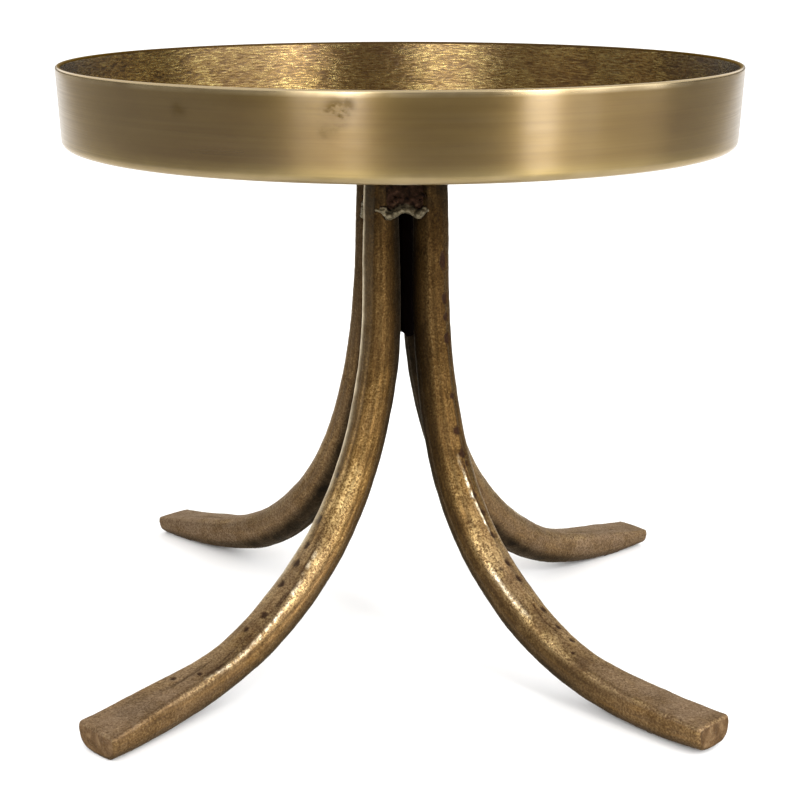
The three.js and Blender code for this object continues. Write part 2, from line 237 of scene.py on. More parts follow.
def bake(ob):
    """Replaces the object's mesh with the result of its modifiers."""
    bpy.context.view_layer.update()
    dg = bpy.context.evaluated_depsgraph_get()
    me = bpy.data.meshes.new_from_object(ob.evaluated_get(dg))
    ob.modifiers.clear()
    ob.data = me
    me.name = ob.name
    return ob


def cylinder(name, x, y, r, z0, z1, sides, turn=0.0):
    ang = turn + np.arange(sides) * 2 * np.pi / sides
    low = np.stack([x + r * np.cos(ang), y + r * np.sin(ang), np.full(sides, z0)], 1)
    high = low + [0, 0, z1 - z0]
    faces = ring_faces(2, sides) + [tuple(range(sides))[::-1], tuple(range(sides, 2 * sides))]
    return make_object(name, np.vstack([low, high]), faces, False)


def cut(ob, cutters):
    """Subtracts the cutters from the object and removes them."""
    for c in cutters:
        m = ob.modifiers.new("cut", "BOOLEAN")
        m.operation, m.solver, m.object = "DIFFERENCE", "EXACT", c
    bake(ob)
    for c in cutters:
        me = c.data
        bpy.data.objects.remove(c)
        bpy.data.meshes.remove(me)
    return ob


def sharp_by_angle(ob, degrees=35):
    """Smooth shading that breaks at edges sharper than this."""
    bm = bmesh.new()
    bm.from_mesh(ob.data)
    for f in bm.faces:
        f.smooth = True
    for e in bm.edges:
        if len(e.link_faces) == 2:
            e.smooth = e.calc_face_angle(0) < math.radians(degrees)
    bm.to_mesh(ob.data)
    bm.free()


# ---------------------------------------------------------------- material helpers
class Mat:
    """A node material around one Principled shader."""

    def __init__(self, name, **constants):
        self.mat = bpy.data.materials.new(name)
        self.mat.use_nodes = True
        self.tree = self.mat.node_tree
        self.tree.nodes.clear()
        self.out = self.tree.nodes.new("ShaderNodeOutputMaterial")
        self.bsdf = self.tree.nodes.new("ShaderNodeBsdfPrincipled")
        self.tree.links.new(self.bsdf.outputs[0], self.out.inputs["Surface"])
        for k, v in constants.items():
            self.bsdf.inputs[k.replace("_", " ")].default_value = v

    def node(self, kind, **props):
        n = self.tree.nodes.new(kind)
        for k, v in props.items():
            setattr(n, k, v)
        return n

    def put(self, socket, value):
        if hasattr(value, "is_output"):
            self.tree.links.new(value, socket)
        elif isinstance(value, (tuple, list)) and len(value) == 3 and socket.type == "RGBA":
            socket.default_value = (*value, 1.0)
        else:
            socket.default_value = value

    def set(self, name, value):
        self.put(self.bsdf.inputs[name], value)

    def coords(self):
        return self.node("ShaderNodeTexCoord").outputs["Object"]

    def attribute(self, name, vector=False):
        n = self.node("ShaderNodeAttribute", attribute_name=name)
        return n.outputs["Vector" if vector else "Fac"]

    def scale(self, vec, factors, offset=(0, 0, 0)):
        n = self.node("ShaderNodeMapping")
        self.put(n.inputs["Vector"], vec)
        n.inputs["Scale"].default_value = factors
        n.inputs["Location"].default_value = offset
        return n.outputs[0]

    def noise(self, vec, size=1.0, detail=3.0, rough=0.5, twist=0.0, kind="FBM"):
        """Noise, 0 to 1; size is the number of cells per unit of vec."""
        n = self.node("ShaderNodeTexNoise", noise_dimensions="3D")
        self.put(n.inputs["Vector"], vec)
        n.inputs["Scale"].default_value = size
        n.inputs["Detail"].default_value = detail
        n.inputs["Roughness"].default_value = rough
        n.inputs["Distortion"].default_value = twist
        return n.outputs[0]

    def cells(self, vec, size=1.0, feature="F1", output="Distance"):
        n = self.node("ShaderNodeTexVoronoi", feature=feature)
        self.put(n.inputs["Vector"], vec)
        n.inputs["Scale"].default_value = size
        return n.outputs[output]

    def math(self, op, a, b=0.0, c=0.0, clamp=False):
        n = self.node("ShaderNodeMath", operation=op, use_clamp=clamp)
        self.put(n.inputs[0], a)
        self.put(n.inputs[1], b)
        if len(n.inputs) > 2:
            self.put(n.inputs[2], c)
        return n.outputs[0]

    def fit(self, value, a, b, c=0.0, d=1.0):
        """value from a..b to c..d, held at the ends"""
        n = self.node("ShaderNodeMapRange", interpolation_type="SMOOTHSTEP")
        self.put(n.inputs["Value"], value)
        for k, v in zip(("From Min", "From Max", "To Min", "To Max"), (a, b, c, d)):
            n.inputs[k].default_value = v
        return n.outputs[0]

    def ramp(self, value, stops):
        n = self.node("ShaderNodeValToRGB")
        self.put(n.inputs[0], value)
        el = n.color_ramp.elements
        while len(el) < len(stops):
            el.new(0.5)
        for e, (at, colour) in zip(el, stops):
            e.position = at
            e.color = (*colour, 1.0)
        return n.outputs[0]

    def mix(self, factor, a, b, blend="MIX"):
        n = self.node("ShaderNodeMix", data_type="RGBA", blend_type=blend, clamp_factor=True)
        self.put(n.inputs[0], factor)
        self.put(n.inputs[6], a)
        self.put(n.inputs[7], b)
        return n.outputs[2]

    def near(self, vec, point, inner, outer):
        """1 within inner of the point, 0 beyond outer"""
        n = self.node("ShaderNodeVectorMath", operation="DISTANCE")
        self.put(n.inputs[0], vec)
        n.inputs[1].default_value = point
        return self.fit(n.outputs["Value"], inner, outer, 1.0, 0.0)

    def bump(self, height, strength, distance, normal=None):
        n = self.node("ShaderNodeBump")
        self.put(n.inputs["Height"], height)
        n.inputs["Strength"].default_value = strength
        n.inputs["Distance"].default_value = distance
        if normal is not None:
            self.put(n.inputs["Normal"], normal)
        return n.outputs[0]


# ---------------------------------------------------------------- materials
def brushed_brass():
    """Antique brass, brushed round the wall, bright where the rim and the lower edge have been rubbed."""
    m = Mat("brass_brushed", Metallic=1.0, Anisotropic=0.62, Anisotropic_Rotation=0.25, Coat_Weight=0.72, Coat_Roughness=0.18, Coat_IOR=1.5, Specular_Tint=(0.76, 0.62, 0.41, 1.0))
    p = m.coords()
    streak = m.noise(m.scale(p, (7, 7, 1500)), 1, 3, 0.6)
    long_streak = m.noise(m.scale(p, (3.5, 3.5, 320)), 1, 2, 0.55)
    band = m.noise(m.scale(p, (5, 5, 26)), 1, 3, 0.55, 0.4)
    cloud = m.noise(m.scale(p, (13, 13, 30), (3, 1, 2)), 1, 4, 0.6)
    edge = m.attribute("edge")
    base = m.ramp(band, [(0.28, (0.094, 0.056, 0.013)), (0.5, (0.114, 0.071, 0.018)), (0.74, (0.140, 0.091, 0.027))])
    low = m.fit(m.node("ShaderNodeSeparateXYZ").outputs[2], 0.322, 0.313, 0.0, 0.55)
    m.put(low.node.inputs["Value"].links[0].from_node.inputs[0], p)
    base = m.mix(low, base, (0.225, 0.165, 0.050))
    base = m.mix(m.fit(cloud, 0.46, 0.72, 0, 0.40), base, (0.082, 0.043, 0.010))
    base = m.mix(m.fit(long_streak, 0.42, 0.66, 0, 0.20), base, (0.150, 0.100, 0.032))
    base = m.mix(m.fit(streak, 0.44, 0.62, 0, 0.12), base, (0.068, 0.040, 0.014))
    # patina spots
    speck = m.noise(m.scale(p, (90, 90, 130)), 1, 4, 0.65)
    stain = 0.0
    for point, inner, outer, depth in (
        ((-0.0300, -0.197, 0.3455), 0.0010, 0.0110, 0.58), ((-0.0345, -0.196, 0.3370), 0.0005, 0.0080, 0.42),
        ((-0.0250, -0.1975, 0.3490), 0.001, 0.0060, 0.40), ((-0.1090, -0.166, 0.3440), 0.001, 0.0080, 0.30),
    ):
        spot = m.math("MULTIPLY", m.near(p, point, inner, outer), m.fit(speck, 0.42, 0.56, 0.20, min(1.0, depth * 1.35)))
        stain = m.math("MAXIMUM", stain, spot)
    base = m.mix(stain, base, (0.044, 0.026, 0.006))
    lip = m.attribute("lip")
    m.set("Coat Weight", m.fit(m.math("MAXIMUM", stain, lip), 0.0, 0.85, 0.72, 0.0))
    base = m.mix(m.math("MULTIPLY", edge, 0.70), base, (0.40, 0.31, 0.17))
    base = m.mix(m.math("MULTIPLY", lip, 0.8), base, (0.060, 0.032, 0.012))
    m.set("Base Color", base)
    rough = m.math("ADD", m.fit(band, 0.3, 0.7, 0.29, 0.36), m.fit(streak, 0.35, 0.65, -0.02, 0.04))
    rough = m.math("ADD", rough, m.math("MULTIPLY", m.math("MAXIMUM", lip, stain), 0.22))
    rough = m.math("SUBTRACT", rough, m.math("MULTIPLY", edge, 0.07))
    m.set("Roughness", rough)
    tangent = m.node("ShaderNodeTangent", direction_type="RADIAL", axis="Z")
    m.set("Tangent", tangent.outputs[0])
    n1 = m.bump(streak, 0.20, 0.00006)
    n2 = m.bump(long_streak, 0.30, 0.00016, n1)
    mottle = m.noise(m.scale(p, (30, 30, 150), (2, 4, 1)), 1, 3, 0.55, 0.3)
    n3 = m.bump(cloud, 0.25, 0.0005, n2)
    m.set("Normal", m.bump(mottle, 0.35, 0.00022, n3))
    return m.mat


def cast_brass(name, wall):
    """The tray's inside: a coarse sand-cast skin, wrinkled round the wall, with worn high spots."""
    m = Mat(name, Metallic=1.0)
    p = m.coords()
    if wall:
        m.bsdf.inputs["Coat Weight"].default_value = 0.5
        m.bsdf.inputs["Coat Roughness"].default_value = 0.17
        m.bsdf.inputs["Anisotropic"].default_value = 0.9
        m.bsdf.inputs["Anisotropic Rotation"].default_value = 0.25
        m.set("Tangent", m.node("ShaderNodeTangent", direction_type="RADIAL", axis="Z").outputs[0])
    wrinkle = m.noise(m.scale(p, (180, 180, 950) if wall else (260, 260, 260)), 1, 4, 0.58, 0.25)
    grain = m.noise(m.scale(p, (900, 900, 1100)), 1, 3, 0.6, 0.3)
    lump = m.noise(m.scale(p, (42, 42, 90)), 1, 4, 0.55, 0.5)
    cloud = m.noise(m.scale(p, (9, 9, 14)), 1, 3, 0.55)
    height = m.math("ADD", m.math("MULTIPLY", wrinkle, 0.62), m.math("ADD", m.math("MULTIPLY", grain, 0.22), m.math("MULTIPLY", lump, 0.30)))
    if wall:  # thin dark furrows between golden ridges
        base = m.ramp(height, [(0.46, (0.062, 0.035, 0.011)), (0.53, (0.180, 0.112, 0.032)), (0.60, (0.265, 0.180, 0.054)), (0.72, (0.58, 0.48, 0.19))])
        furrow = m.noise(m.scale(p, (150, 150, 1200), (4, 1, 2)), 1, 3, 0.55, 0.3)
        base = m.mix(m.fit(furrow, 0.34, 0.46, 0.75, 0.0), base, (0.060, 0.031, 0.010))
    else:
        base = m.ramp(height, [(0.42, (0.090, 0.052, 0.018)), (0.54, (0.180, 0.108, 0.036)), (0.62, (0.270, 0.180, 0.064)), (0.76, (0.50, 0.39, 0.18))])
    base = m.mix(m.fit(cloud, 0.40, 0.66, 0, 0.45), base, (0.175, 0.102, 0.044))
    m.set("Base Color", base)
    m.set("Roughness", m.fit(height, 0.42, 0.72, 0.31, 0.22) if wall else m.fit(height, 0.42, 0.72, 0.56, 0.36))
    n1 = m.bump(lump, 0.5, 0.00010 if wall else 0.0009)
    n2 = m.bump(wrinkle, 1.0, 0.00022 if wall else 0.0008, n1)
    skin = m.bump(grain, 0.6, 0.00005 if wall else 0.00045, n2)
    m.set("Normal", skin)
    if wall:
        m.set("Coat Normal", skin)
    return m.mat


def underside_brass():
    """The tray's underside: cast, ground over and left dull."""
    m = Mat("brass_underside", Metallic=1.0)
    p = m.coords()
    grain = m.noise(m.scale(p, (420, 420, 420)), 1, 4, 0.6)
    patch = m.noise(m.scale(p, (14, 14, 14)), 1, 4, 0.6, 0.6)
    grind = m.noise(m.scale(p, (25, 600, 200)), 1, 2, 0.5)
    base = m.ramp(patch, [(0.30, (0.14, 0.092, 0.042)), (0.52, (0.225, 0.155, 0.072)), (0.75, (0.30, 0.215, 0.105))])
    base = m.mix(m.fit(grain, 0.50, 0.70, 0, 0.5), base, (0.10, 0.066, 0.032))
    m.set("Base Color", base)
    m.set("Roughness", m.fit(patch, 0.3, 0.7, 0.52, 0.40))
    n1 = m.bump(grain, 0.5, 0.0004)
    m.set("Normal", m.bump(grind, 0.25, 0.0002, n1))
    return m.mat


def leg_bronze():
    """Dark cast brass: sand-cast speckle, painted shade inside and at the top, rubbed golden on the ridges with painted
    highlights there, dusty on the feet.
    """
    m = Mat("bronze_leg", Metallic=1.0, Specular_Tint=(0.95, 0.86, 0.74, 1.0))
    p = m.coords()
    wear_and_sheen, shade_and_dirt, pit, top = m.attribute("wear_and_sheen"), m.attribute("shade_and_dirt"), m.attribute("pit"), m.attribute("top")
    grey, sawn, polish = m.attribute("grey"), m.attribute("sawn"), m.attribute("polish")
    glint, cream = m.attribute("glint"), m.attribute("cream")
    along = m.attribute("along", True)
    grain = m.noise(m.scale(p, (1500, 1500, 1500)), 1, 3, 0.6, 0.2)
    sand = m.noise(m.scale(p, (820, 820, 820)), 1, 4, 0.60, 0.4)
    blotch = m.noise(m.scale(p, (95, 95, 95)), 1, 4, 0.58, 0.6)
    cloud = m.noise(m.scale(p, (24, 24, 24)), 1, 3, 0.55, 0.4)
    rub = m.noise(m.scale(along, (45, 520, 1)), 1, 3, 0.6, 0.3)
    mixed = m.math("ADD", m.math("MULTIPLY", sand, 0.74), m.math("ADD", m.math("MULTIPLY", blotch, 0.20), m.math("MULTIPLY", grain, 0.14)))
    base = m.ramp(mixed, [(0.40, (0.058, 0.029, 0.009)), (0.51, (0.118, 0.063, 0.018)), (0.61, (0.180, 0.104, 0.033)), (0.74, (0.35, 0.225, 0.088))])
    base = m.mix(m.fit(cloud, 0.40, 0.66, 0, 0.45), base, (0.105, 0.058, 0.022))
    base = m.mix(m.fit(rub, 0.50, 0.70, 0, 0.50), base, (0.255, 0.138, 0.042))
    furrow = m.noise(m.scale(along, (28, 330, 1), (0.3, 0.7, 0)), 1, 3, 0.55, 0.2)
    base = m.mix(m.fit(furrow, 0.50, 0.68, 0, 0.55), base, (0.062, 0.032, 0.012))
    # rubbed ridges, partly a painted highlight on them
    shine = m.math("MULTIPLY", wear_and_sheen, m.fit(m.math("ADD", m.math("MULTIPLY", sand, 0.75), m.math("MULTIPLY", rub, 0.25)), 0.42, 0.58, 0.05, 1.0))
    base = m.mix(shine, base, (0.47, 0.335, 0.145))
    # dusty feet
    ash = m.math("MULTIPLY", grey, m.fit(m.math("ADD", m.math("MULTIPLY", blotch, 0.5), m.math("MULTIPLY", cloud, 0.5)), 0.36, 0.60, 0.45, 0.95))
    dusty = m.ramp(sand, [(0.34, (0.140, 0.088, 0.053)), (0.52, (0.220, 0.150, 0.092)), (0.72, (0.32, 0.230, 0.145))])
    base = m.mix(ash, base, dusty)
    # painted shade at the top, under the tray
    painted_top_shade = m.ramp(mixed, [(0.40, (0.013, 0.006, 0.002)), (0.58, (0.027, 0.014, 0.004)), (0.74, (0.052, 0.030, 0.010))])
    base = m.mix(m.math("MULTIPLY", top, m.fit(cloud, 0.36, 0.62, 1.0, 0.82)), base, painted_top_shade)
    pores = m.cells(m.scale(p, (600, 600, 600)), 1)
    base = m.mix(m.math("MULTIPLY", m.fit(pores, 0.08, 0.22, 0.32, 0.0), m.fit(blotch, 0.40, 0.6, 0.2, 1.0)), base, (0.030, 0.018, 0.009))
    # painted shade on inner faces, gaps, tops and end faces, with some random dirt
    base = m.mix(m.math("MULTIPLY", shade_and_dirt, m.fit(blotch, 0.30, 0.62, 1.0, 0.86)), base, (0.008, 0.006, 0.004))
    base = m.mix(m.math("MULTIPLY", pit, 0.92), base, (0.030, 0.014, 0.009))
    # painted highlight: a pale line down the front left leg's outer shoulder
    base = m.mix(m.math("MULTIPLY", cream, 0.92), base, (0.74, 0.65, 0.47))
    # painted highlights along the glint lines
    bright = m.math("MULTIPLY", glint, m.fit(sand, 0.36, 0.56, 0.35, 1.0))
    base = m.mix(bright, base, (0.90, 0.80, 0.58))
    cutface = m.ramp(m.noise(m.scale(p, (160, 160, 160), (2, 7, 1)), 1, 3, 0.6, 0.4), [(0.34, (0.070, 0.038, 0.018)), (0.52, (0.125, 0.070, 0.033)), (0.68, (0.24, 0.155, 0.080))])
    base = m.mix(m.math("MULTIPLY", m.math("MULTIPLY", sawn, m.math("SUBTRACT", 1.0, m.math("MULTIPLY", wear_and_sheen, 0.8))), m.fit(sand, 0.35, 0.62, 0.94, 0.62)), base, cutface)
    m.set("Base Color", base)
    rough = m.fit(mixed, 0.42, 0.74, 0.52, 0.38)
    rough = m.math("SUBTRACT", rough, m.math("MULTIPLY", shine, 0.10))
    rough = m.math("SUBTRACT", rough, m.math("MULTIPLY", m.math("MAXIMUM", polish, cream), 0.14))
    rough = m.math("SUBTRACT", rough, m.math("MULTIPLY", bright, 0.14))
    rough = m.math("ADD", rough, m.math("MULTIPLY", pit, 0.18))
    rough = m.math("ADD", rough, m.math("MULTIPLY", m.math("ADD", m.math("MULTIPLY", grey, 0.5), shade_and_dirt), 0.14), clamp=True)
    m.set("Roughness", rough)
    n1 = m.bump(blotch, 0.25, 0.0008)
    n2 = m.bump(sand, 0.70, 0.00036, n1)
    m.set("Normal", m.bump(grain, 0.40, 0.00015, n2))
    return m.mat


def weld_metal(name, cream):
    """Weld metal: pale grey bead with cream highlights over a brown scale."""
    m = Mat(name, Metallic=1.0)
    p = m.coords()
    bead = m.attribute("bead")
    lump = m.noise(m.scale(p, (420, 420, 420)), 1, 4, 0.6, 0.5)
    fine = m.noise(m.scale(p, (1500, 1500, 1500)), 1, 3, 0.6)
    scale = m.noise(m.scale(p, (190, 190, 190), (5, 2, 9)), 1, 4, 0.6, 0.8)
    dark = m.ramp(scale, [(0.32, (0.003, 0.002, 0.002)), (0.50, (0.013, 0.007, 0.004)), (0.62, (0.028, 0.014, 0.009)), (0.76, (0.060, 0.036, 0.020))])
    pale = m.ramp(lump, [(0.32, (0.085, 0.070, 0.042)), (0.50, (0.150, 0.126, 0.080)), (0.70, cream)])
    where = m.math("MULTIPLY", bead, m.fit(scale, 0.34, 0.56, 0.35, 1.0))
    m.set("Base Color", m.mix(where, dark, pale))
    m.set("Roughness", m.fit(lump, 0.3, 0.7, 0.66, 0.54))
    n1 = m.bump(lump, 0.6, 0.0006)
    m.set("Normal", m.bump(fine, 0.4, 0.0002, n1))
    return m.mat


def plate_metal():
    m = Mat("plate_dark", Metallic=1.0)
    p = m.coords()
    turned = m.noise(m.scale(p, (40, 40, 800)), 1, 2, 0.5)
    grain = m.noise(m.scale(p, (700, 700, 700)), 1, 4, 0.6)
    patch = m.noise(m.scale(p, (60, 60, 60)), 1, 4, 0.6, 0.5)
    base = m.ramp(patch, [(0.32, (0.045, 0.032, 0.020)), (0.55, (0.105, 0.075, 0.042)), (0.78, (0.165, 0.118, 0.062))])
    base = m.mix(m.fit(grain, 0.52, 0.70, 0, 0.5), base, (0.035, 0.025, 0.017))
    m.set("Base Color", base)
    m.set("Roughness", m.fit(patch, 0.3, 0.7, 0.56, 0.42))
    n1 = m.bump(grain, 0.4, 0.0002)
    m.set("Normal", m.bump(turned, 0.2, 0.0001, n1))
    return m.mat


def zinc_steel():
    m = Mat("zinc_steel", Metallic=1.0)
    p = m.coords()
    grain = m.noise(m.scale(p, (1400, 1400, 1400)), 1, 3, 0.6)
    patch = m.noise(m.scale(p, (260, 260, 260)), 1, 4, 0.6, 0.4)
    base = m.ramp(patch, [(0.30, (0.20, 0.19, 0.17)), (0.55, (0.36, 0.355, 0.335)), (0.80, (0.47, 0.46, 0.42))])
    m.set("Base Color", base)
    m.set("Roughness", m.fit(patch, 0.3, 0.7, 0.42, 0.28))
    m.set("Normal", m.bump(grain, 0.35, 0.00012))
    return m.mat


def floor_paper():
    m = Mat("floor_pale", Roughness=0.85, Metallic=0.0)
    p = m.coords()
    soft = m.noise(m.scale(p, (3, 3, 3)), 1, 3, 0.5)
    paper = m.ramp(soft, [(0.3, (0.885, 0.885, 0.885)), (0.7, (0.905, 0.905, 0.905))])
    # the paper ends and grey studio floor begins well in front of the table
    apart = m.node("ShaderNodeSeparateXYZ")
    m.put(apart.inputs[0], p)
    beyond = m.math("SUBTRACT", m.math("ABSOLUTE", apart.outputs[0]), m.math("MULTIPLY", apart.outputs[1], 0.30))
    paper = m.mix(m.fit(beyond, 1.25, 1.75, 0.0, 1.0), paper, (0.56, 0.55, 0.53))
    m.set("Base Color", m.mix(m.fit(apart.outputs[1], -1.2, -1.9, 0.0, 1.0), paper, (0.22, 0.215, 0.205)))
    m.set("Normal", m.bump(m.noise(m.scale(p, (300, 300, 300)), 1, 2, 0.5), 0.05, 0.0002))
    return m.mat


BRUSHED, CAST, CAST_WALL, UNDER = brushed_brass(), cast_brass("brass_cast", False), cast_brass("brass_cast_wall", True), underside_brass()
BRONZE, WELD, PLATE, ZINC = leg_bronze(), weld_metal("weld_metal", (0.20, 0.17, 0.11)), plate_metal(), zinc_steel()


# ---------------------------------------------------------------- tray
def build_tray():
    prof, zone = [], []  # zone: 0 underside, 1 outside wall, 2 inside wall, 3 floor

    def add(r, z, k):
        prof.append((r, z))
        zone.append(k)

    add(0, PAD_UNDER, 0)
    for r in (2, 8, 16, 26, 36, 46, 54, 58.6):
        add(r, PAD_UNDER, 0)
    for k in range(1, 5):
        a = k / 4 * math.pi / 2
        add(58.6 + 1.4 * math.sin(a), PAD_UNDER + 1.4 - 1.4 * math.cos(a), 0)
    add(60.5, 308.3, 0)
    for k in range(0, 5):
        a = k / 4 * math.pi / 2
        add(62.4 - 1.6 * math.cos(a), 308.8 + 1.6 * math.sin(a), 0)
    for r in np.linspace(66, TRAY_R_LOW - 6, 22):
        add(r, TRAY_UNDER, 0)
    for k in range(0, 11):
        a = k / 10 * math.pi / 2
        add(TRAY_R_LOW - 4.5 + 4.5 * math.sin(a), TRAY_UNDER + 4.5 - 4.5 * math.cos(a), 1)
    for k in range(1, 17):
        u = k / 16
        add(TRAY_R_LOW + (TRAY_R - TRAY_R_LOW) * u, TRAY_UNDER + 4.5 + (TRAY_TOP - 1.4 - TRAY_UNDER - 4.5) * u, 1)
    for k in range(1, 12):
        a = k / 11 * math.pi
        add(TRAY_R - 1.4 + 1.4 * math.cos(a), TRAY_TOP - 1.4 + 1.4 * math.sin(a), 1)
    inner_top, inner_low = TRAY_R - TRAY_WALL, TRAY_R_LOW - TRAY_WALL
    for k in range(1, 39):
        u = k / 38
        add(inner_top + (inner_low - inner_top) * u, TRAY_TOP - 1.4 + (TRAY_FLOOR + 5 - TRAY_TOP + 1.4) * u, 2)
    for k in range(1, 8):
        a = k / 7 * math.pi / 2
        add(inner_low - 5 + 5 * math.cos(a), TRAY_FLOOR + 5 - 5 * math.sin(a), 2)
    for r in list(np.linspace(inner_low - 8, 6, 44)) + [2.0]:
        add(r, TRAY_FLOOR, 3)
    add(0, TRAY_FLOOR, 3)
    prof, zone = np.array(prof), np.array(zone)
    seg = 720
    verts, faces, shape = lathe("tray", prof, seg)
    n, rows = len(verts), shape[0]
    row_zone = zone[1:-1]
    # outward direction of the profile at each ring
    d = np.gradient(prof, axis=0)
    nrm = np.stack([d[:, 1], -d[:, 0]], 1)
    nrm /= np.linalg.norm(nrm, axis=1)[:, None] + 1e-9
    nrm = nrm[1:-1]
    ang = np.arange(seg) * 2 * np.pi / seg
    dirs = np.zeros(shape)
    dirs[..., 0] = nrm[:, 0, None] * np.cos(ang)
    dirs[..., 1] = nrm[:, 0, None] * np.sin(ang)
    dirs[..., 2] = nrm[:, 1, None]
    grid = verts[: rows * seg].reshape(shape).copy()
    na, nb = Noise(11), Noise(12)
    inside = (row_zone >= 2)[:, None]
    under = (row_zone == 0)[:, None]
    z = grid[..., 2]
    # the cast inside: wrinkles that run round the wall, lumps, and a slow wave
    q = grid.copy()
    wall = smooth(TRAY_FLOOR + 1, TRAY_FLOOR + 8, z)
    stretch = np.stack([q[..., 0] / 5.2, q[..., 1] / 5.2, q[..., 2] / 1.9], -1)
    wr = na.fbm(stretch + 0.6 * nb(q / 9.0)[..., None], 3, 0.55)
    lump = nb.fbm(q / 16.0, 3, 0.5)
    rim_fade = smooth(TRAY_TOP - 1.6, TRAY_TOP - 5, z)
    cast = np.where(wall > 0.5, (0.032 * wr + 0.03 * lump) * rim_fade, 0.13 * wr + 0.16 * lump)
    outer = 0.10 * na(q / np.array([70.0, 70.0, 45.0])) + 0.035 * nb(np.stack([q[..., 0] / 40, q[..., 1] / 40, q[..., 2] / 6.0], -1))
    outer = outer * smooth(TRAY_TOP - 0.6, TRAY_TOP - 7, z)
    rough_under = 0.18 * nb.fbm(q / 12.0, 3, 0.55) * smooth(60.2, 66, np.hypot(q[..., 0], q[..., 1]))
    move = np.where(inside, cast, np.where(under, rough_under, np.minimum(outer, 0.06)))
    grid += dirs * move[..., None]
    grid[..., 2] = np.minimum(grid[..., 2], TRAY_TOP)
    verts[: rows * seg] = grid.reshape(-1, 3)
    ob = make_object("tray_body", verts, faces)
    for m in (UNDER, BRUSHED, CAST_WALL, CAST):
        ob.data.materials.append(m)
    face_zone = np.concatenate([np.repeat(np.maximum(row_zone[:-1], row_zone[1:]), seg), np.zeros(seg, int), np.full(seg, 3)])
    # the last ring of the rim belongs to the brushed outside
    ob.data.polygons.foreach_set("material_index", face_zone.astype(np.int32))
    edge = np.zeros(n)
    zz = verts[:, 2]
    rr = np.hypot(verts[:, 0], verts[:, 1])
    wob = na.fbm(verts / 18.0, 3, 0.6)
    rim = smooth(TRAY_TOP - 2.6, TRAY_TOP - 0.9, zz + 0.5 * wob) * smooth(TRAY_R - 1.5, TRAY_R - 0.9, rr)
    low = smooth(TRAY_UNDER + 5.0, TRAY_UNDER + 1.2, zz + 0.8 * wob) * (rr > TRAY_R_LOW - 8) * 0.45
    edge = np.clip(np.maximum(rim, low), 0, 1)
    put_attribute(ob, "edge", edge)
    put_attribute(ob, "lip", smooth(TRAY_TOP - 3.2, TRAY_TOP - 1.0, zz + 0.5 * wob) * smooth(TRAY_R - 0.9, TRAY_R - 1.6, rr))
    cutters = [
        cylinder(f"cut_{k}", BOLT_R * math.cos(k * math.pi / 2), BOLT_R * math.sin(k * math.pi / 2), 2.9, PAD_UNDER - 2, 312.6, 24)
        for k in range(4)
    ]
    cut(ob, cutters)
    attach(ob, "root")
    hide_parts("tray")
    return ob


# ---------------------------------------------------------------- legs
def leg_rows(leg):
    """Arrays along the leg, from the top: arc, s, angle, rho, z, q, w, t"""
    n = 400
    s = np.linspace(0, 1, n + 1)
    turn = ramp(leg["turn"])(s)
    a = np.radians(turn)
    mid = np.radians((turn[1:] + turn[:-1]) / 2)
    step = leg["length"] / n
    rho = np.concatenate([[0], np.cumsum(np.sin(mid)) * step])
    z = np.concatenate([[0], -np.cumsum(np.cos(mid)) * step])
    q, w, t = ramp(leg["side"])(s), ramp(leg["w"], SIZE_KNOTS)(s), ramp(leg["t"], SIZE_KNOTS)(s)
    z = z - (z - t / 2 * np.abs(np.sin(a))).min()
    rows = np.stack([s, a, rho, z, q, w, t], 1)
    used = rows[z < LEG_TOP - 0.5]
    top = used[0].copy()
    top[0], top[1], top[3] = 0, 0, LEG_TOP
    used = np.vstack([top, used])
    arc = np.concatenate([[0], np.cumsum(np.hypot(np.diff(used[:, 2]), np.diff(used[:, 3])))])
    return arc, used


SOFT_KNOTS = [0, 0.2, 0.5, 0.72, 0.88, 1]
UPPER_SOFT = [0.30, 0.38, 0.42, 0.36, 0.21, 0.16]  # corner radius of the outer face, as a share of the smaller side
LOWER_SOFT = [0.30, 0.36, 0.40, 0.42, 0.48, 0.54]  # the same for the inner face


def section(w, t, upper, lower, crown, sides=10, corners=9):
    """Rings of a rounded bar: U and V of every point, its outward (du, dv), counter-clockwise from the +U side. All inputs are arrays along the bar."""
    us, vs, du, dv = [], [], [], []
    arcs = []
    for k, (su, sv) in enumerate([(1, 1), (-1, 1), (-1, -1), (1, -1)]):
        r = upper if sv > 0 else lower
        th = k * math.pi / 2 + np.linspace(0, 1, corners + 1) * math.pi / 2
        arcs.append((su * (w / 2 - r)[:, None] + r[:, None] * np.cos(th), sv * (t / 2 - r)[:, None] + r[:, None] * np.sin(th), th))
    for k in range(4):
        u, v, th = arcs[k]
        nu, nv, _ = arcs[(k + 1) % 4]
        us.append(u)
        vs.append(v)
        du.append(np.cos(th))
        dv.append(np.sin(th))
        a = (k + 1) * math.pi / 2
        f = np.arange(1, sides) / sides
        bulge = crown[:, None] * (1 - (2 * f - 1) ** 2)
        us.append(u[:, -1:] * (1 - f) + nu[:, :1] * f + bulge * math.cos(a))
        vs.append(v[:, -1:] * (1 - f) + nv[:, :1] * f + bulge * math.sin(a))
        du.append(np.full(sides - 1, math.cos(a)))
        dv.append(np.full(sides - 1, math.sin(a)))
    return np.hstack(us), np.hstack(vs), np.concatenate(du), np.concatenate(dv)


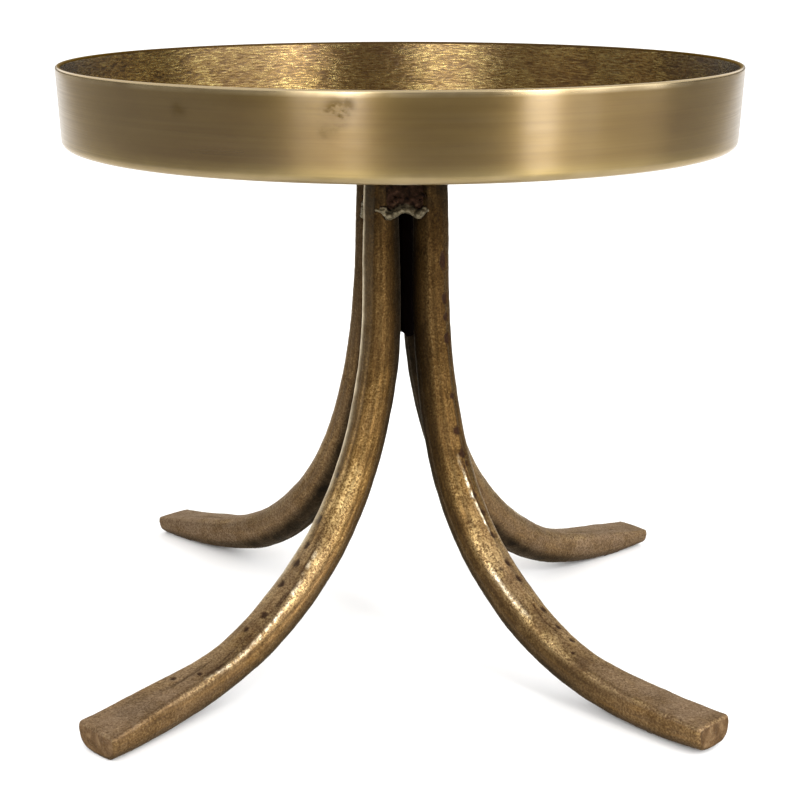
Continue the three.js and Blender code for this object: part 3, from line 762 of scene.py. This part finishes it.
def build_leg(name, seed):
    leg = LEGS[name]
    arc, rows = leg_rows(leg)
    total = arc[-1]
    bevel = 2.2
    count = 470
    f = np.linspace(0, 1, count)
    at = (total - bevel) * (0.86 * f + 0.14 * (1 - (1 - f) ** 2))
    extra, shrink = [], [0.0] * count
    for k in range(1, 8):
        th = k / 7 * math.pi / 2
        extra.append(total - bevel + bevel * math.sin(th))
        shrink.append(bevel * (1 - math.cos(th)))
    cap = 9
    fill = [1.0] * (count + 7)
    for k in range(1, cap):
        extra.append(total)
        shrink.append(bevel)
        fill.append(1 - k / cap)
    at = np.concatenate([at, extra])
    shrink, fill = np.array(shrink), np.array(fill)
    s, a, rho, z, q, w, t = [np.interp(at, arc, rows[:, k]) for k in range(7)]
    az = math.radians(leg["az"])
    rad, lat, up = np.array([math.cos(az), math.sin(az), 0]), np.array([-math.sin(az), math.cos(az), 0]), np.array([0, 0, 1.0])
    centre = np.array([leg["x"], leg["y"], 0]) + rho[:, None] * rad + z[:, None] * up + q[:, None] * lat
    nrm = np.cos(a)[:, None] * rad + np.sin(a)[:, None] * up
    tan = np.sin(a)[:, None] * rad - np.cos(a)[:, None] * up
    small = np.minimum(w, t)
    upper, lower = ramp(UPPER_SOFT, SOFT_KNOTS)(s), ramp(LOWER_SOFT, SOFT_KNOTS)(s)
    # softer corners would make the bar look slimmer across its diagonal, so it grows to keep that width
    k0 = (w + t) / (2 * math.sqrt(2))
    grow = (k0 - 0.24 * small * (math.sqrt(2) - 1)) / (k0 - (upper + lower) / 2 * small * (math.sqrt(2) - 1))
    grow = 1 + (grow - 1) * smooth(0.84, 0.62, s)
    wide, deep = w * grow, t * grow
    ww, tt = wide - 2 * shrink, deep - 2 * shrink
    ru = np.maximum(upper * small * grow - shrink * 0.8, 0.6)
    rl = np.maximum(lower * small * grow - shrink * 0.8, 0.6)
    crown = 0.35 + 0.35 * smooth(0.1, 0.4, s) * smooth(0.9, 0.7, s)
    U, V, du, dv = section(ww, tt, ru, rl, crown)
    cols = U.shape[1]
    U *= fill[:, None]
    V *= fill[:, None]
    pos = centre[:, None, :] + U[..., None] * lat + V[..., None] * nrm[:, None, :]
    base = pos.copy()
    out = du[None, :, None] * lat + dv[None, :, None] * nrm[:, None, :]
    # on the end face the relief goes along the leg
    is_cap = (np.arange(len(at)) >= count + 6)[:, None]
    tilt = np.clip(shrink / bevel, 0, 1)[:, None, None]
    out = np.where(is_cap[..., None], tan[:, None, :], out * (1 - tilt * 0.5) + tan[:, None, :] * tilt * 0.5)
    na, nb, nc = Noise(seed), Noise(seed + 1), Noise(seed + 2)
    # lengthwise hammer-and-file shape: slow lumps, then the sand skin
    slow = na.fbm(np.stack([pos[..., 0] / 30, pos[..., 1] / 30, pos[..., 2] / 38], -1), 2, 0.5)
    mid = nb.fbm(pos / 9.0, 2, 0.5)
    fine = nc.fbm(pos / 2.6, 2, 0.6)
    move = 0.30 * slow + 0.13 * mid + 0.055 * fine - 0.10
    # nothing sticks out at the top, where the plate and welds are
    move = np.where(is_cap, 0.35 * mid + 0.06 * fine - 0.12, move)
    pit = np.zeros(pos.shape[:2])
    outer_face = smooth(0.0, 0.45, dv[None, :])
    for ps, pu, hs, hu, depth in PITS.get(name, []):
        place = np.interp(ps, rows[:, 0], arc)
        ds = (at[:, None] - place) / hs
        across = (U - pu * (np.interp(ps, rows[:, 0], rows[:, 5]) / 2)) / hu
        wob = 0.22 * nc(pos / 2.2 + 31)
        d = np.sqrt(ds**2 + across**2) + wob
        well = (1 - smooth(0.70, 1.25, d)) * outer_face
        pit = np.maximum(pit, well)
        move = move - depth * well + 0.10 * np.exp(-((d - 1.25) / 0.25) ** 2) * outer_face
    # stray small pores
    pores = np.clip(nb(pos / 3.1 + 7) - 0.62, 0, 1) * 2.2
    move -= 0.22 * np.clip(pores, 0, 1)
    # wandering seams along the shoulder of the bar
    seam = np.zeros(pos.shape[:2])
    for s0, s1, u0, half, depth in SEAMS.get(name, []):
        line = u0 * w / 2 + 1.1 * na(np.stack([at / 14, at * 0, at * 0 + seed], -1)) + 0.5 * nb(np.stack([at / 4, at * 0, at * 0], -1))
        d = (U - line[:, None]) / half
        cut_ = np.exp(-(d**2)) * (smooth(s0 - 0.02, s0 + 0.02, s) * smooth(s1 + 0.02, s1 - 0.02, s))[:, None] * smooth(0.0, 0.3, dv[None, :])
        seam = np.maximum(seam, cut_)
        move = move - depth * cut_
    pit = np.maximum(pit, 0.8 * seam)
    glint = np.zeros(pos.shape[:2])
    # painted highlight lines, each with a real crease beside it
    for points, half in GLINTS.get(name, []):
        gs, gu = np.array(points).T
        line = ramp(gu, gs)(np.clip(s, gs[0], gs[-1])) * w / 2 + 0.35 * nb(np.stack([at / 3.5, at * 0, at * 0 + 4], -1))
        ends = (smooth(gs[0] - 0.01, gs[0] + 0.015, s) * smooth(gs[-1] + 0.01, gs[-1] - 0.02, s))[:, None] * smooth(-0.5, 0.0, dv[None, :])
        side = 1.0 if gu.mean() < 0 else -1.0
        ridge = np.exp(-(((U - line[:, None]) / half) ** 2)) * ends
        crease = np.exp(-(((U - line[:, None] - side * 1.7) / (0.85 if "left" in name else 0.6)) ** 2)) * ends
        broken = np.clip((0.40 if "left" in name else 0.65) + 1.1 * nb(np.stack([at / 4.0, at * 0 + 9, at * 0], -1)), 0.05, 1)[:, None]
        glint = np.maximum(glint, ridge * broken)
        pit = np.maximum(pit, (0.95 if "left" in name else 0.75) * crease)
        move = move + 0.16 * ridge - 0.22 * crease
    pos = pos + out * move[..., None]
    # dressed flat sole
    flat = base[..., 2] < 0.6
    pos[..., 2] = np.where(flat, 0.0, np.maximum(pos[..., 2], 0.0))
    near = smooth(1.8, 0.6, base[..., 2])
    pos[..., 2] = np.where(flat, 0.0, pos[..., 2] * (1 - near) + base[..., 2] * near * 0.85)
    pos[0, :, 2] = LEG_TOP
    pos[..., 2] = np.minimum(pos[..., 2], LEG_TOP)
    verts = pos.reshape(-1, 3)
    # rings run counter-clockwise seen from the top, so going down the quads are turned round
    faces = [(d, c, b, a_) for a_, b, c, d in ring_faces(len(at), cols)]
    verts = np.vstack([verts, [centre[0] * [1, 1, 0] + [0, 0, LEG_TOP]], [centre[-1] + tan[-1] * float(move[-1].mean())]])
    top_i, end_i = len(verts) - 2, len(verts) - 1
    last = (len(at) - 1) * cols
    faces += [(top_i, j, (j + 1) % cols) for j in range(cols)]
    faces += [(end_i, last + (j + 1) % cols, last + j) for j in range(cols)]
    ob = make_object(name + "_cast", verts, faces)
    ob.data.materials.append(BRONZE)

    # surface condition
    S = s[:, None] * np.ones((1, cols))
    vpos = V / (np.abs(V).max(axis=1, keepdims=True) + 1e-9)
    angle = np.degrees(np.arctan2(np.abs(du), dv))[None, :]
    corner = np.exp(-(((angle - 45) / 26) ** 2))
    face_out = np.clip(dv[None, :], 0, 1)
    blot = na.fbm(base / 22.0 + 5, 3, 0.6)
    patch = nb.fbm(base / 9.0 + 3, 3, 0.6)
    # rubbed corners and ridges, partly a painted highlight on them
    run = smooth(0.36, 0.55, S) * smooth(0.95, 0.78, S)
    wear_and_sheen = (0.10 + 0.90 * run) * (0.75 * corner + 0.35 * face_out) * (0.75 + 0.7 * blot + 0.5 * patch)
    wear_and_sheen = np.clip(wear_and_sheen, 0, 1)
    rear = 1.0 if "rear" in name else 0.0
    # painted shade on the inner side and on the top, under the tray
    shade = smooth(0.08, -0.65, vpos) * (1 - 0.35 * smooth(0.7, 0.95, S))
    shade_and_dirt = np.clip(np.maximum(shade, 0.25 * np.clip(-blot, 0, 1)), 0, 1)
    top = np.clip(smooth(0.50, 0.06, S), 0, 1) * np.ones((1, cols))
    grey = np.clip((smooth(0.74, 0.93, S) + 0.45 * smooth(0.46, 0.62, S) * smooth(0.93, 0.74, S)) * (0.35 + 0.65 * face_out) + rear * (0.35 + 0.3 * smooth(0.5, 0.85, S)), 0, 1)
    sawn = np.where(is_cap, 1.0, np.clip(shrink / bevel, 0, 1)[:, None] ** 2) * np.ones((1, cols))
    lip = np.exp(-(((sawn - 0.30) / 0.28) ** 2)) * (sawn > 0.02) * smooth(-0.3, 0.5, dv[None, :]) * np.clip(0.8 + 1.3 * patch, 0, 1)
    wear_and_sheen = np.clip(np.where(sawn > 0.02, lip, wear_and_sheen), 0, 1) * (1 - 0.35 * rear)
    if name == "leg_front_right":  # a rubbed, lumpy arris on the near side of the foot, and a painted highlight on the upper flank
        turn_ = np.degrees(np.arctan2(dv, du))[None, :]
        foot = np.exp(-(((turn_ - 128) / 15) ** 2)) * smooth(0.76, 0.84, S) * np.clip(0.70 + 0.9 * patch, 0, 1)
        wear_and_sheen = np.maximum(wear_and_sheen, 0.95 * foot * (1 - sawn))
        wear_and_sheen = np.maximum(wear_and_sheen, 0.45 * np.exp(-(((turn_ - 158) / 22) ** 2)) * smooth(0.55, 0.12, S) * smooth(0.02, 0.09, S))
    if rear:
        wear_and_sheen = np.maximum(wear_and_sheen, 0.65 * np.exp(-(((angle - 45) / 15) ** 2)) * smooth(0.70, 0.84, S) * np.clip(0.5 + 0.9 * patch, 0, 1) * (1 - sawn))
    # painted shade at the top of the leg under the tray, and painted shade on the end faces, strongest on the front
    # right foot
    shade_and_dirt = np.maximum(shade_and_dirt, smooth(0.115, 0.02, S) * np.clip(0.70 + 0.5 * patch, 0, 0.92))
    shade_and_dirt = np.where(is_cap, (0.60 * np.clip(0.9 + 0.5 * patch, 0, 1) if name == "leg_front_right" else 0.15 * np.clip(0.5 + patch, 0, 1)), shade_and_dirt)
    polish = np.exp(-(((angle - 62) / 22) ** 2)) * smooth(-0.35, 0.1, vpos) * (1 - smooth(0.86, 0.95, S))
    peri = np.concatenate([[0], np.cumsum(np.linalg.norm(np.diff(base[count // 2], axis=0), axis=1))])
    along = np.stack([at[:, None] * np.ones((1, cols)), peri[None, :] * np.ones((len(at), 1)), np.zeros((len(at), cols))], -1) * MM

    def both(x):
        x = (np.asarray(x) * np.ones(pos.shape[:2])).reshape(-1)
        return np.concatenate([x, [x[0], x[-1]]])

    around_ = np.degrees(np.arctan2(dv, du))[None, :]
    if name == "leg_front_left":  # painted highlight: a pale, smoother line down the outer left shoulder
        cream = np.exp(-(((around_ - 127) / 20) ** 2)) * smooth(0.72, 0.55, S) * np.clip(0.8 + 0.5 * patch, 0, 1)
    else:
        cream = np.zeros(pos.shape[:2])
    if name == "leg_front_right":
        # painted shade reaching further down the upper front right leg
        top = np.clip(top + 0.55 * smooth(0.58, 0.40, S) * (1 - top), 0, 1)
        wear_and_sheen = wear_and_sheen * (1 - 0.45 * smooth(0.62, 0.45, S))
        # painted shade on the flank that faces the other front leg, all the way down
        flank = np.exp(-((((around_ % 360) - 200) / 26) ** 2)) * smooth(0.16, 0.26, S) * smooth(0.92, 0.76, S)
        shade_and_dirt = np.clip(np.maximum(shade_and_dirt, 0.95 * flank), 0, 1)
        wear_and_sheen = wear_and_sheen * (1 - 0.8 * flank)
    if rear:
        # painted shade: the rear legs darker all over, darkest on the inner faces toward the gap
        shade_and_dirt = np.maximum(shade_and_dirt, 0.22)
        inner = smooth(-0.15, -0.60, dv[None, :]) * smooth(0.10, 0.20, S) * smooth(0.74, 0.60, S)
        shade_and_dirt = np.maximum(shade_and_dirt, 0.97 * inner)
        wear_and_sheen = wear_and_sheen * (1 - 0.9 * inner)
    for key, val in (("glint", glint), ("cream", cream), ("wear_and_sheen", wear_and_sheen), ("shade_and_dirt", shade_and_dirt), ("pit", pit), ("grey", grey), ("sawn", sawn), ("top", top), ("polish", polish)):
        put_attribute(ob, key, both(val))
    put_attribute(ob, "along", np.vstack([along.reshape(-1, 3), [[0, 0, 0], [total * MM, 0, 0]]]))
    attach(ob, "root")
    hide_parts(name)
    return ob


# ---------------------------------------------------------------- welds
def ball(centre, radius, detail=2):
    bm = bmesh.new()
    bmesh.ops.create_icosphere(bm, subdivisions=detail, radius=radius)
    v = np.array([x.co[:] for x in bm.verts]) + centre
    f = [tuple(x.index for x in face.verts) for face in bm.faces]
    bm.free()
    return v, f


def remesh(name, shells, voxel, rounds):
    """One skin over the closed shells (verts in millimetres, faces), smoothed."""
    verts, faces, k = [], [], 0
    for v, f in shells:
        verts.append(v)
        faces += [tuple(i + k for i in g) for g in f]
        k += len(v)
    ob = make_object(name, np.vstack(verts), faces)
    m = ob.modifiers.new("skin", "REMESH")
    m.mode, m.voxel_size, m.adaptivity = "VOXEL", voxel * MM, 0.0
    if rounds:
        s = ob.modifiers.new("ease", "SMOOTH")
        s.factor, s.iterations = 0.5, rounds
    bake(ob)
    ob.data.polygons.foreach_set("use_smooth", [True] * len(ob.data.polygons))
    return ob


def cad_shell(node):
    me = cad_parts[node].data
    v = np.array([x.co[:] for x in me.vertices]) / MM
    # the imported mesh is split at its edges: join equal points
    key = np.round(v, 3)
    uniq, index = np.unique(key, axis=0, return_inverse=True)
    index = index.reshape(-1)
    f = [tuple(int(index[i]) for i in p.vertices) for p in me.polygons]
    f = [g for g in f if len(set(g)) == len(g)]
    return uniq, f


def displace(ob, fn):
    me = ob.data
    n = len(me.vertices)
    co, no = np.zeros(n * 3, np.float32), np.zeros(n * 3, np.float32)
    me.vertices.foreach_get("co", co)
    me.vertices.foreach_get("normal", no)
    co, no = co.reshape(-1, 3).astype(float) / MM, no.reshape(-1, 3).astype(float)
    co = co + no * fn(co)[:, None]
    me.vertices.foreach_set("co", (co * MM).astype(np.float32).reshape(-1))
    me.update()
    return co


def bead_path(name):
    first, second, toward, heights = WELDS[name]
    a, b = LEGS[first], LEGS[second]
    th = math.radians(toward)
    d = np.array([math.cos(th), math.sin(th)])
    across = np.array([-d[1], d[0]])
    reach = lambda g: (g["w"][0] + g["t"][0]) / 2 / math.sqrt(2) * 0.9
    pa, pb = np.array([a["x"], a["y"]]) + d * reach(a), np.array([b["x"], b["y"]]) + d * reach(b)
    ua, ub = pa @ across, pb @ across
    front = min(pa @ d, pb @ d)
    lo, hi = min(ua, ub), max(ua, ub)
    w, mid = hi - lo, (lo + hi) / 2
    e0, l0, ar, l1, e1 = heights
    knots_u = [lo - 2.6, lo + 0.06 * w, lo + 0.16 * w, lo + 0.27 * w, lo + 0.37 * w, lo + 0.49 * w, lo + 0.61 * w, lo + 0.71 * w, lo + 0.79 * w, lo + 0.87 * w, hi - 1.2]
    knots_z = [e0 - 2.2, e0 - 3.0, l0 + 1.6, l0 + 2.6, ar - 4.2, ar - 3.4, ar - 4.2, l1 - 0.4, l1 - 0.6, e1 - 3.0, e1 - 1.8]
    knots_d = [front - 0.4, front + 0.2, front + 0.2, front - 1.0, front - 2.4, front - 3.0, front - 2.4, front - 1.0, front + 0.3, front + 0.4, front - 0.3]
    t = np.linspace(0, 1, 60)
    k = np.linspace(0, 1, len(knots_u))
    u, z, dd = [ramp(v, k)(t) for v in (knots_u, knots_z, knots_d)]
    return u[:, None] * across[None, :] + dd[:, None] * d[None, :], z, d


def build_weld(name, seed):
    rng = np.random.RandomState(seed)
    path, z, d = bead_path(name)
    shells = [cad_shell(name)]
    n = len(path)
    beads = []
    for i in range(0, n, 2):
        ends = min(i, n - 1 - i) / (n / 2)
        radius = (0.95 + 1.10 * min(1, ends * 2.6)) * rng.uniform(0.93, 1.07)
        c = np.array([*path[i], z[i]]) + rng.normal(size=3) * [0.15, 0.15, 0.2]
        beads.append((c, radius))
    for i in range(4, n - 4, 2):  # the bead's root, running up into the groove
        c = np.array([*(path[i] - d * 1.1), z[i] + 2.2]) + rng.normal(size=3) * 0.2
        beads.append((c, rng.uniform(1.3, 1.7)))
    low0, low1 = path[int(n * 0.17)], path[int(n * 0.80)]
    beads.append((np.array([*low0, z.min() - 0.6]) + rng.normal(size=3) * 0.2, 1.45))
    beads.append((np.array([*low1, z.min() - 0.2]) + rng.normal(size=3) * 0.2, 1.6))
    for _ in range(9):  # spatter and overlap on the legs beside the bead
        i = rng.randint(4, n - 4)
        c = np.array([*(path[i] + d * rng.uniform(-1.2, 0.2)), z[i] + rng.uniform(2.0, 11.0)])
        beads.append((c, rng.uniform(0.7, 1.7)))
    shells += [ball(c, r) for c, r in beads]
    ob = remesh("bead_" + name, shells, 0.45, 5)
    noise = Noise(seed + 50)
    co = displace(ob, lambda v: 0.30 * noise.fbm(v / 3.0, 3, 0.55))
    near = np.full(len(co), 1e9)
    for c, r in beads[: n // 2]:
        near = np.minimum(near, np.linalg.norm(co - c, axis=1) - r)
    put_attribute(ob, "bead", np.clip(smooth(1.6, 0.3, near + 0.5 * noise(co / 2.0)), 0, 1))
    ob.data.materials.clear()
    ob.data.materials.append(WELD)
    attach(ob, "root")
    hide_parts(name)
    return ob


def build_plate_weld(name, seed):
    rng = np.random.RandomState(seed)
    lo, hi = [np.array(c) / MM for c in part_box(name)]
    shell = cad_shell(name)
    v = shell[0]
    c0 = v.mean(0)
    leg = list(LEGS.values())[int(name[-1]) - 1]
    az = math.radians(leg["az"])
    lat = np.array([-math.sin(az), math.cos(az), 0])
    half = (leg["w"][0] - 5) / 2
    shells = [shell]
    for k in np.linspace(-1, 1, 9):
        c = c0 + lat * half * k + rng.normal(size=3) * [0.15, 0.15, 0.1] + [0, 0, -0.3]
        shells.append(ball(c, rng.uniform(1.5, 1.9)))
    ob = remesh("fillet_" + name, shells, 0.45, 3)
    noise = Noise(seed + 9)
    co = displace(ob, lambda p: 0.22 * noise.fbm(p / 2.2, 3, 0.55))
    me = ob.data
    flat = np.zeros(len(me.vertices) * 3, np.float32)
    me.vertices.foreach_get("co", flat)
    flat = flat.reshape(-1, 3)
    flat[:, 2] = np.minimum(flat[:, 2], (LEG_TOP - 0.02) * MM)
    me.vertices.foreach_set("co", flat.reshape(-1))
    me.update()
    put_attribute(ob, "bead", np.clip(0.55 + 0.5 * noise(co / 3.0), 0, 1))
    ob.data.materials.clear()
    ob.data.materials.append(WELD)
    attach(ob, "root")
    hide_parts(name)
    return ob


# ---------------------------------------------------------------- plate, screws, washers
def build_plate():
    r, z0, z1, b = PLATE_R, PLATE_UNDER, PLATE_TOP, 0.7
    prof = [(0, z0)] + [(x, z0) for x in (8, 20, 32, 44, 52)]
    for k in range(0, 5):
        a = k / 4 * math.pi / 2
        prof.append((r - b + b * math.sin(a), z0 + b - b * math.cos(a)))
    for k in range(0, 5):
        a = k / 4 * math.pi / 2
        prof.append((r - b + b * math.cos(a), z1 - b + b * math.sin(a)))
    prof += [(x, z1) for x in (52, 30, 8)] + [(0, z1)]
    verts, faces, _ = lathe("plate", prof, 144)
    ob = make_object("plate_disc", verts, faces)
    cutters = [cylinder(f"cut_{k}", BOLT_R * math.cos(k * math.pi / 2), BOLT_R * math.sin(k * math.pi / 2), 2.9, z0 - 2, z1 + 2, 32) for k in range(4)]
    cut(ob, cutters)
    sharp_by_angle(ob, 40)
    ob.data.materials.clear()
    ob.data.materials.append(PLATE)
    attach(ob, "root")
    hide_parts("mounting_plate")
    return ob


def build_screw(k):
    x, y = BOLT_R * math.cos(k * math.pi / 2), BOLT_R * math.sin(k * math.pi / 2)
    top = 298.5  # upper face of the head
    under = top - 3.2
    prof = [(0, under), (2.3, under)]
    for j in range(0, 7):
        a = j / 6 * math.pi / 2
        prof.append((2.9 + 1.6 * math.sin(a), under + 1.6 - 1.6 * math.cos(a)))
    prof += [(4.5, top - 0.15), (4.35, top), (2.5, top)]
    # shank with rolled thread ridges, a fine pitch that stays inside the plain shank's radius
    z = top + 0.5
    while z < 310.6:
        prof += [(2.5, z), (2.5, z + 0.15), (2.12, z + 0.4), (2.12, z + 0.5)]
        z += 0.8
    prof += [(2.4, 310.8), (1.9, 311.4), (0, 311.4)]
    verts, faces, _ = lathe("screw", prof, 40)
    verts = verts + [x, y, 0]
    ob = make_object(f"screw_{k + 1}", verts, faces)
    cut(ob, [cylinder("cut_hex", x, y, 1.7, under - 1, under + 2, 6, 0.3 * k)])
    sharp_by_angle(ob, 38)
    ob.data.materials.clear()
    ob.data.materials.append(ZINC)
    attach(ob, "root")
    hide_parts(f"plate_screw_{k + 1}")


def build_washer(k):
    x, y = BOLT_R * math.cos(k * math.pi / 2), BOLT_R * math.sin(k * math.pi / 2)
    z1 = 299.8
    z0, b = z1 - 1.0, 0.18
    prof = [(2.9 + b, z0), (5.6 - b, z0), (5.6 - 0.05, z0 + 0.05), (5.6, z0 + b), (5.6, z1 - b), (5.6 - b, z1), (2.9 + b, z1), (2.9, z1 - b), (2.9, z0 + b), (2.9 + b, z0)]
    body = np.array(prof[:-1])
    seg = 56
    ang = np.arange(seg) * 2 * np.pi / seg
    v = np.zeros((len(body), seg, 3))
    v[..., 0] = x + body[:, 0, None] * np.cos(ang)
    v[..., 1] = y + body[:, 0, None] * np.sin(ang)
    v[..., 2] = body[:, 1, None]
    faces = ring_faces(len(body), seg)
    a, c = (len(body) - 1) * seg, 0
    faces += [(a + j, a + (j + 1) % seg, c + (j + 1) % seg, c + j) for j in range(seg)]
    ob = make_object(f"washer_{k + 1}", v.reshape(-1, 3), faces)
    sharp_by_angle(ob, 50)
    ob.data.materials.append(ZINC)
    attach(ob, "root")
    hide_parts(f"plate_washer_{k + 1}")


def build_core():
    """The bar between the legs, near-black and barely reflecting as painted shade in the slit, its lower end hollowed
    into a small arch.
    """
    m = Mat("core_painted_shade", Metallic=0.0, Specular_IOR_Level=0.01)
    p = m.coords()
    patch = m.noise(m.scale(p, (150, 150, 60)), 1, 4, 0.6, 0.5)
    grain = m.noise(m.scale(p, (900, 900, 900)), 1, 3, 0.6)
    m.set("Base Color", m.ramp(patch, [(0.35, (0.0009, 0.0003, 0.0002)), (0.6, (0.0018, 0.0006, 0.0004)), (0.8, (0.004, 0.0018, 0.0012))]))
    m.set("Roughness", m.fit(patch, 0.3, 0.7, 0.95, 0.85))
    m.set("Normal", m.bump(grain, 0.5, 0.0003))
    lo, hi = [np.array(c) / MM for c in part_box("hub_core")]
    cx, cy, r = (lo[0] + hi[0]) / 2, (lo[1] + hi[1]) / 2, min(hi[0] - lo[0], hi[1] - lo[1]) / 2
    prof = [(0, lo[2])] + [(x * r, lo[2]) for x in np.linspace(0.12, 0.93, 9)] + [(0.98 * r, lo[2] + 0.15), (r, lo[2] + 0.6)]
    prof += [(r, z) for z in np.linspace(lo[2] + 2, hi[2] - 1, 70)] + [(r, hi[2]), (0.5 * r, hi[2]), (0, hi[2])]
    verts, faces, _ = lathe("core", prof, 64)
    skin = Noise(71)
    radial = np.hypot(verts[:, 0], verts[:, 1])
    side = (radial > 0.97 * r) & (verts[:, 2] < hi[2] - 0.5)
    k = np.where(side, 1 - np.abs(0.035 * skin.fbm(verts / 4.0, 3, 0.55)), 1.0)
    verts[:, 0] *= k
    verts[:, 1] *= k
    low = smooth(lo[2] + 14, lo[2], verts[:, 2])
    verts[:, 2] += low * 3.4 * (1 - np.clip(np.abs(verts[:, 0] + 1.5) / 4.2, 0, 1) ** 2)
    verts = verts + [cx, cy, 0]
    ob = make_object("core_bar", verts, faces)
    sharp_by_angle(ob, 45)
    ob.data.materials.append(m.mat)
    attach(ob, "root")
    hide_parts("hub_core")


build_tray()
for k, name in enumerate(LEGS):
    build_leg(name, 100 + 10 * k)
for k, name in enumerate(WELDS):
    build_weld(name, 200 + 10 * k)
for k in range(4):
    build_plate_weld(f"plate_weld_{k + 1}", 300 + 10 * k)
    build_screw(k)
    build_washer(k)
build_plate()
build_core()

# ---------------------------------------------------------------- floor, light, camera
floor = make_object("floor", np.array([[-30000, -30000, 0], [30000, -30000, 0], [30000, 30000, 0], [-30000, 30000, 0]], float), [(0, 1, 2, 3)])
floor.location.z = -0.0002
floor.data.materials.append(floor_paper())


def softbox(name, place, target, width, height, radiance, spread=180):
    """A rectangular area light, given by how bright its face is."""
    data = bpy.data.lights.new(name, "AREA")
    data.shape, data.size, data.size_y = "RECTANGLE", width, height
    data.energy = radiance * math.pi * width * height
    data.spread = math.radians(spread)
    ob = bpy.data.objects.new(name, data)
    bpy.context.scene.collection.objects.link(ob)
    ob.location = place
    ob.rotation_euler = (Vector(target) - Vector(place)).to_track_quat("-Z", "Y").to_euler()
    ob.visible_camera = False
    return ob


def around(azimuth, distance, z):
    a = math.radians(azimuth)
    return (distance * math.sin(a), -distance * math.cos(a), z)


softbox("overhead", (0, 8.0, 3.0), (0, 8.0, 0), 18.0, 26.0, 1.32)
softbox("key", around(42, 1.55, 0.86), (0, 0, 0.86), 0.28, 1.60, 10.0)
softbox("key_wide", around(50, 1.6, 0.86), (0, 0, 0.86), 0.66, 1.60, 2.2)
softbox("accent", around(-13, 1.7, 0.86), (0, 0, 0.86), 0.18, 1.60, 10.0)
softbox("accent_wide", around(-23, 1.75, 0.86), (0, 0, 0.86), 0.52, 1.60, 5.0)
softbox("fill_right", around(74, 1.9, 0.75), (0, 0, 0.25), 1.1, 1.3, 2.9)

world = bpy.data.worlds.new("studio")
world.use_nodes = True
world.node_tree.nodes["Background"].inputs[0].default_value = (1.0, 0.99, 0.97, 1.0)
world.node_tree.nodes["Background"].inputs[1].default_value = 0.28
bpy.context.scene.world = world
bpy.context.scene.view_settings.view_transform = "Standard"

cam_data = bpy.data.cameras.new("camera")
cam_data.lens, cam_data.sensor_width = 74.34, 36.0
cam_data.clip_start, cam_data.clip_end = 0.05, 100
cam = bpy.data.objects.new("camera", cam_data)
bpy.context.scene.collection.objects.link(cam)
cam.location = (0, -0.9894, 0.4234)
cam.rotation_euler = (math.radians(74.51), 0, 0)
bpy.context.scene.camera = cam
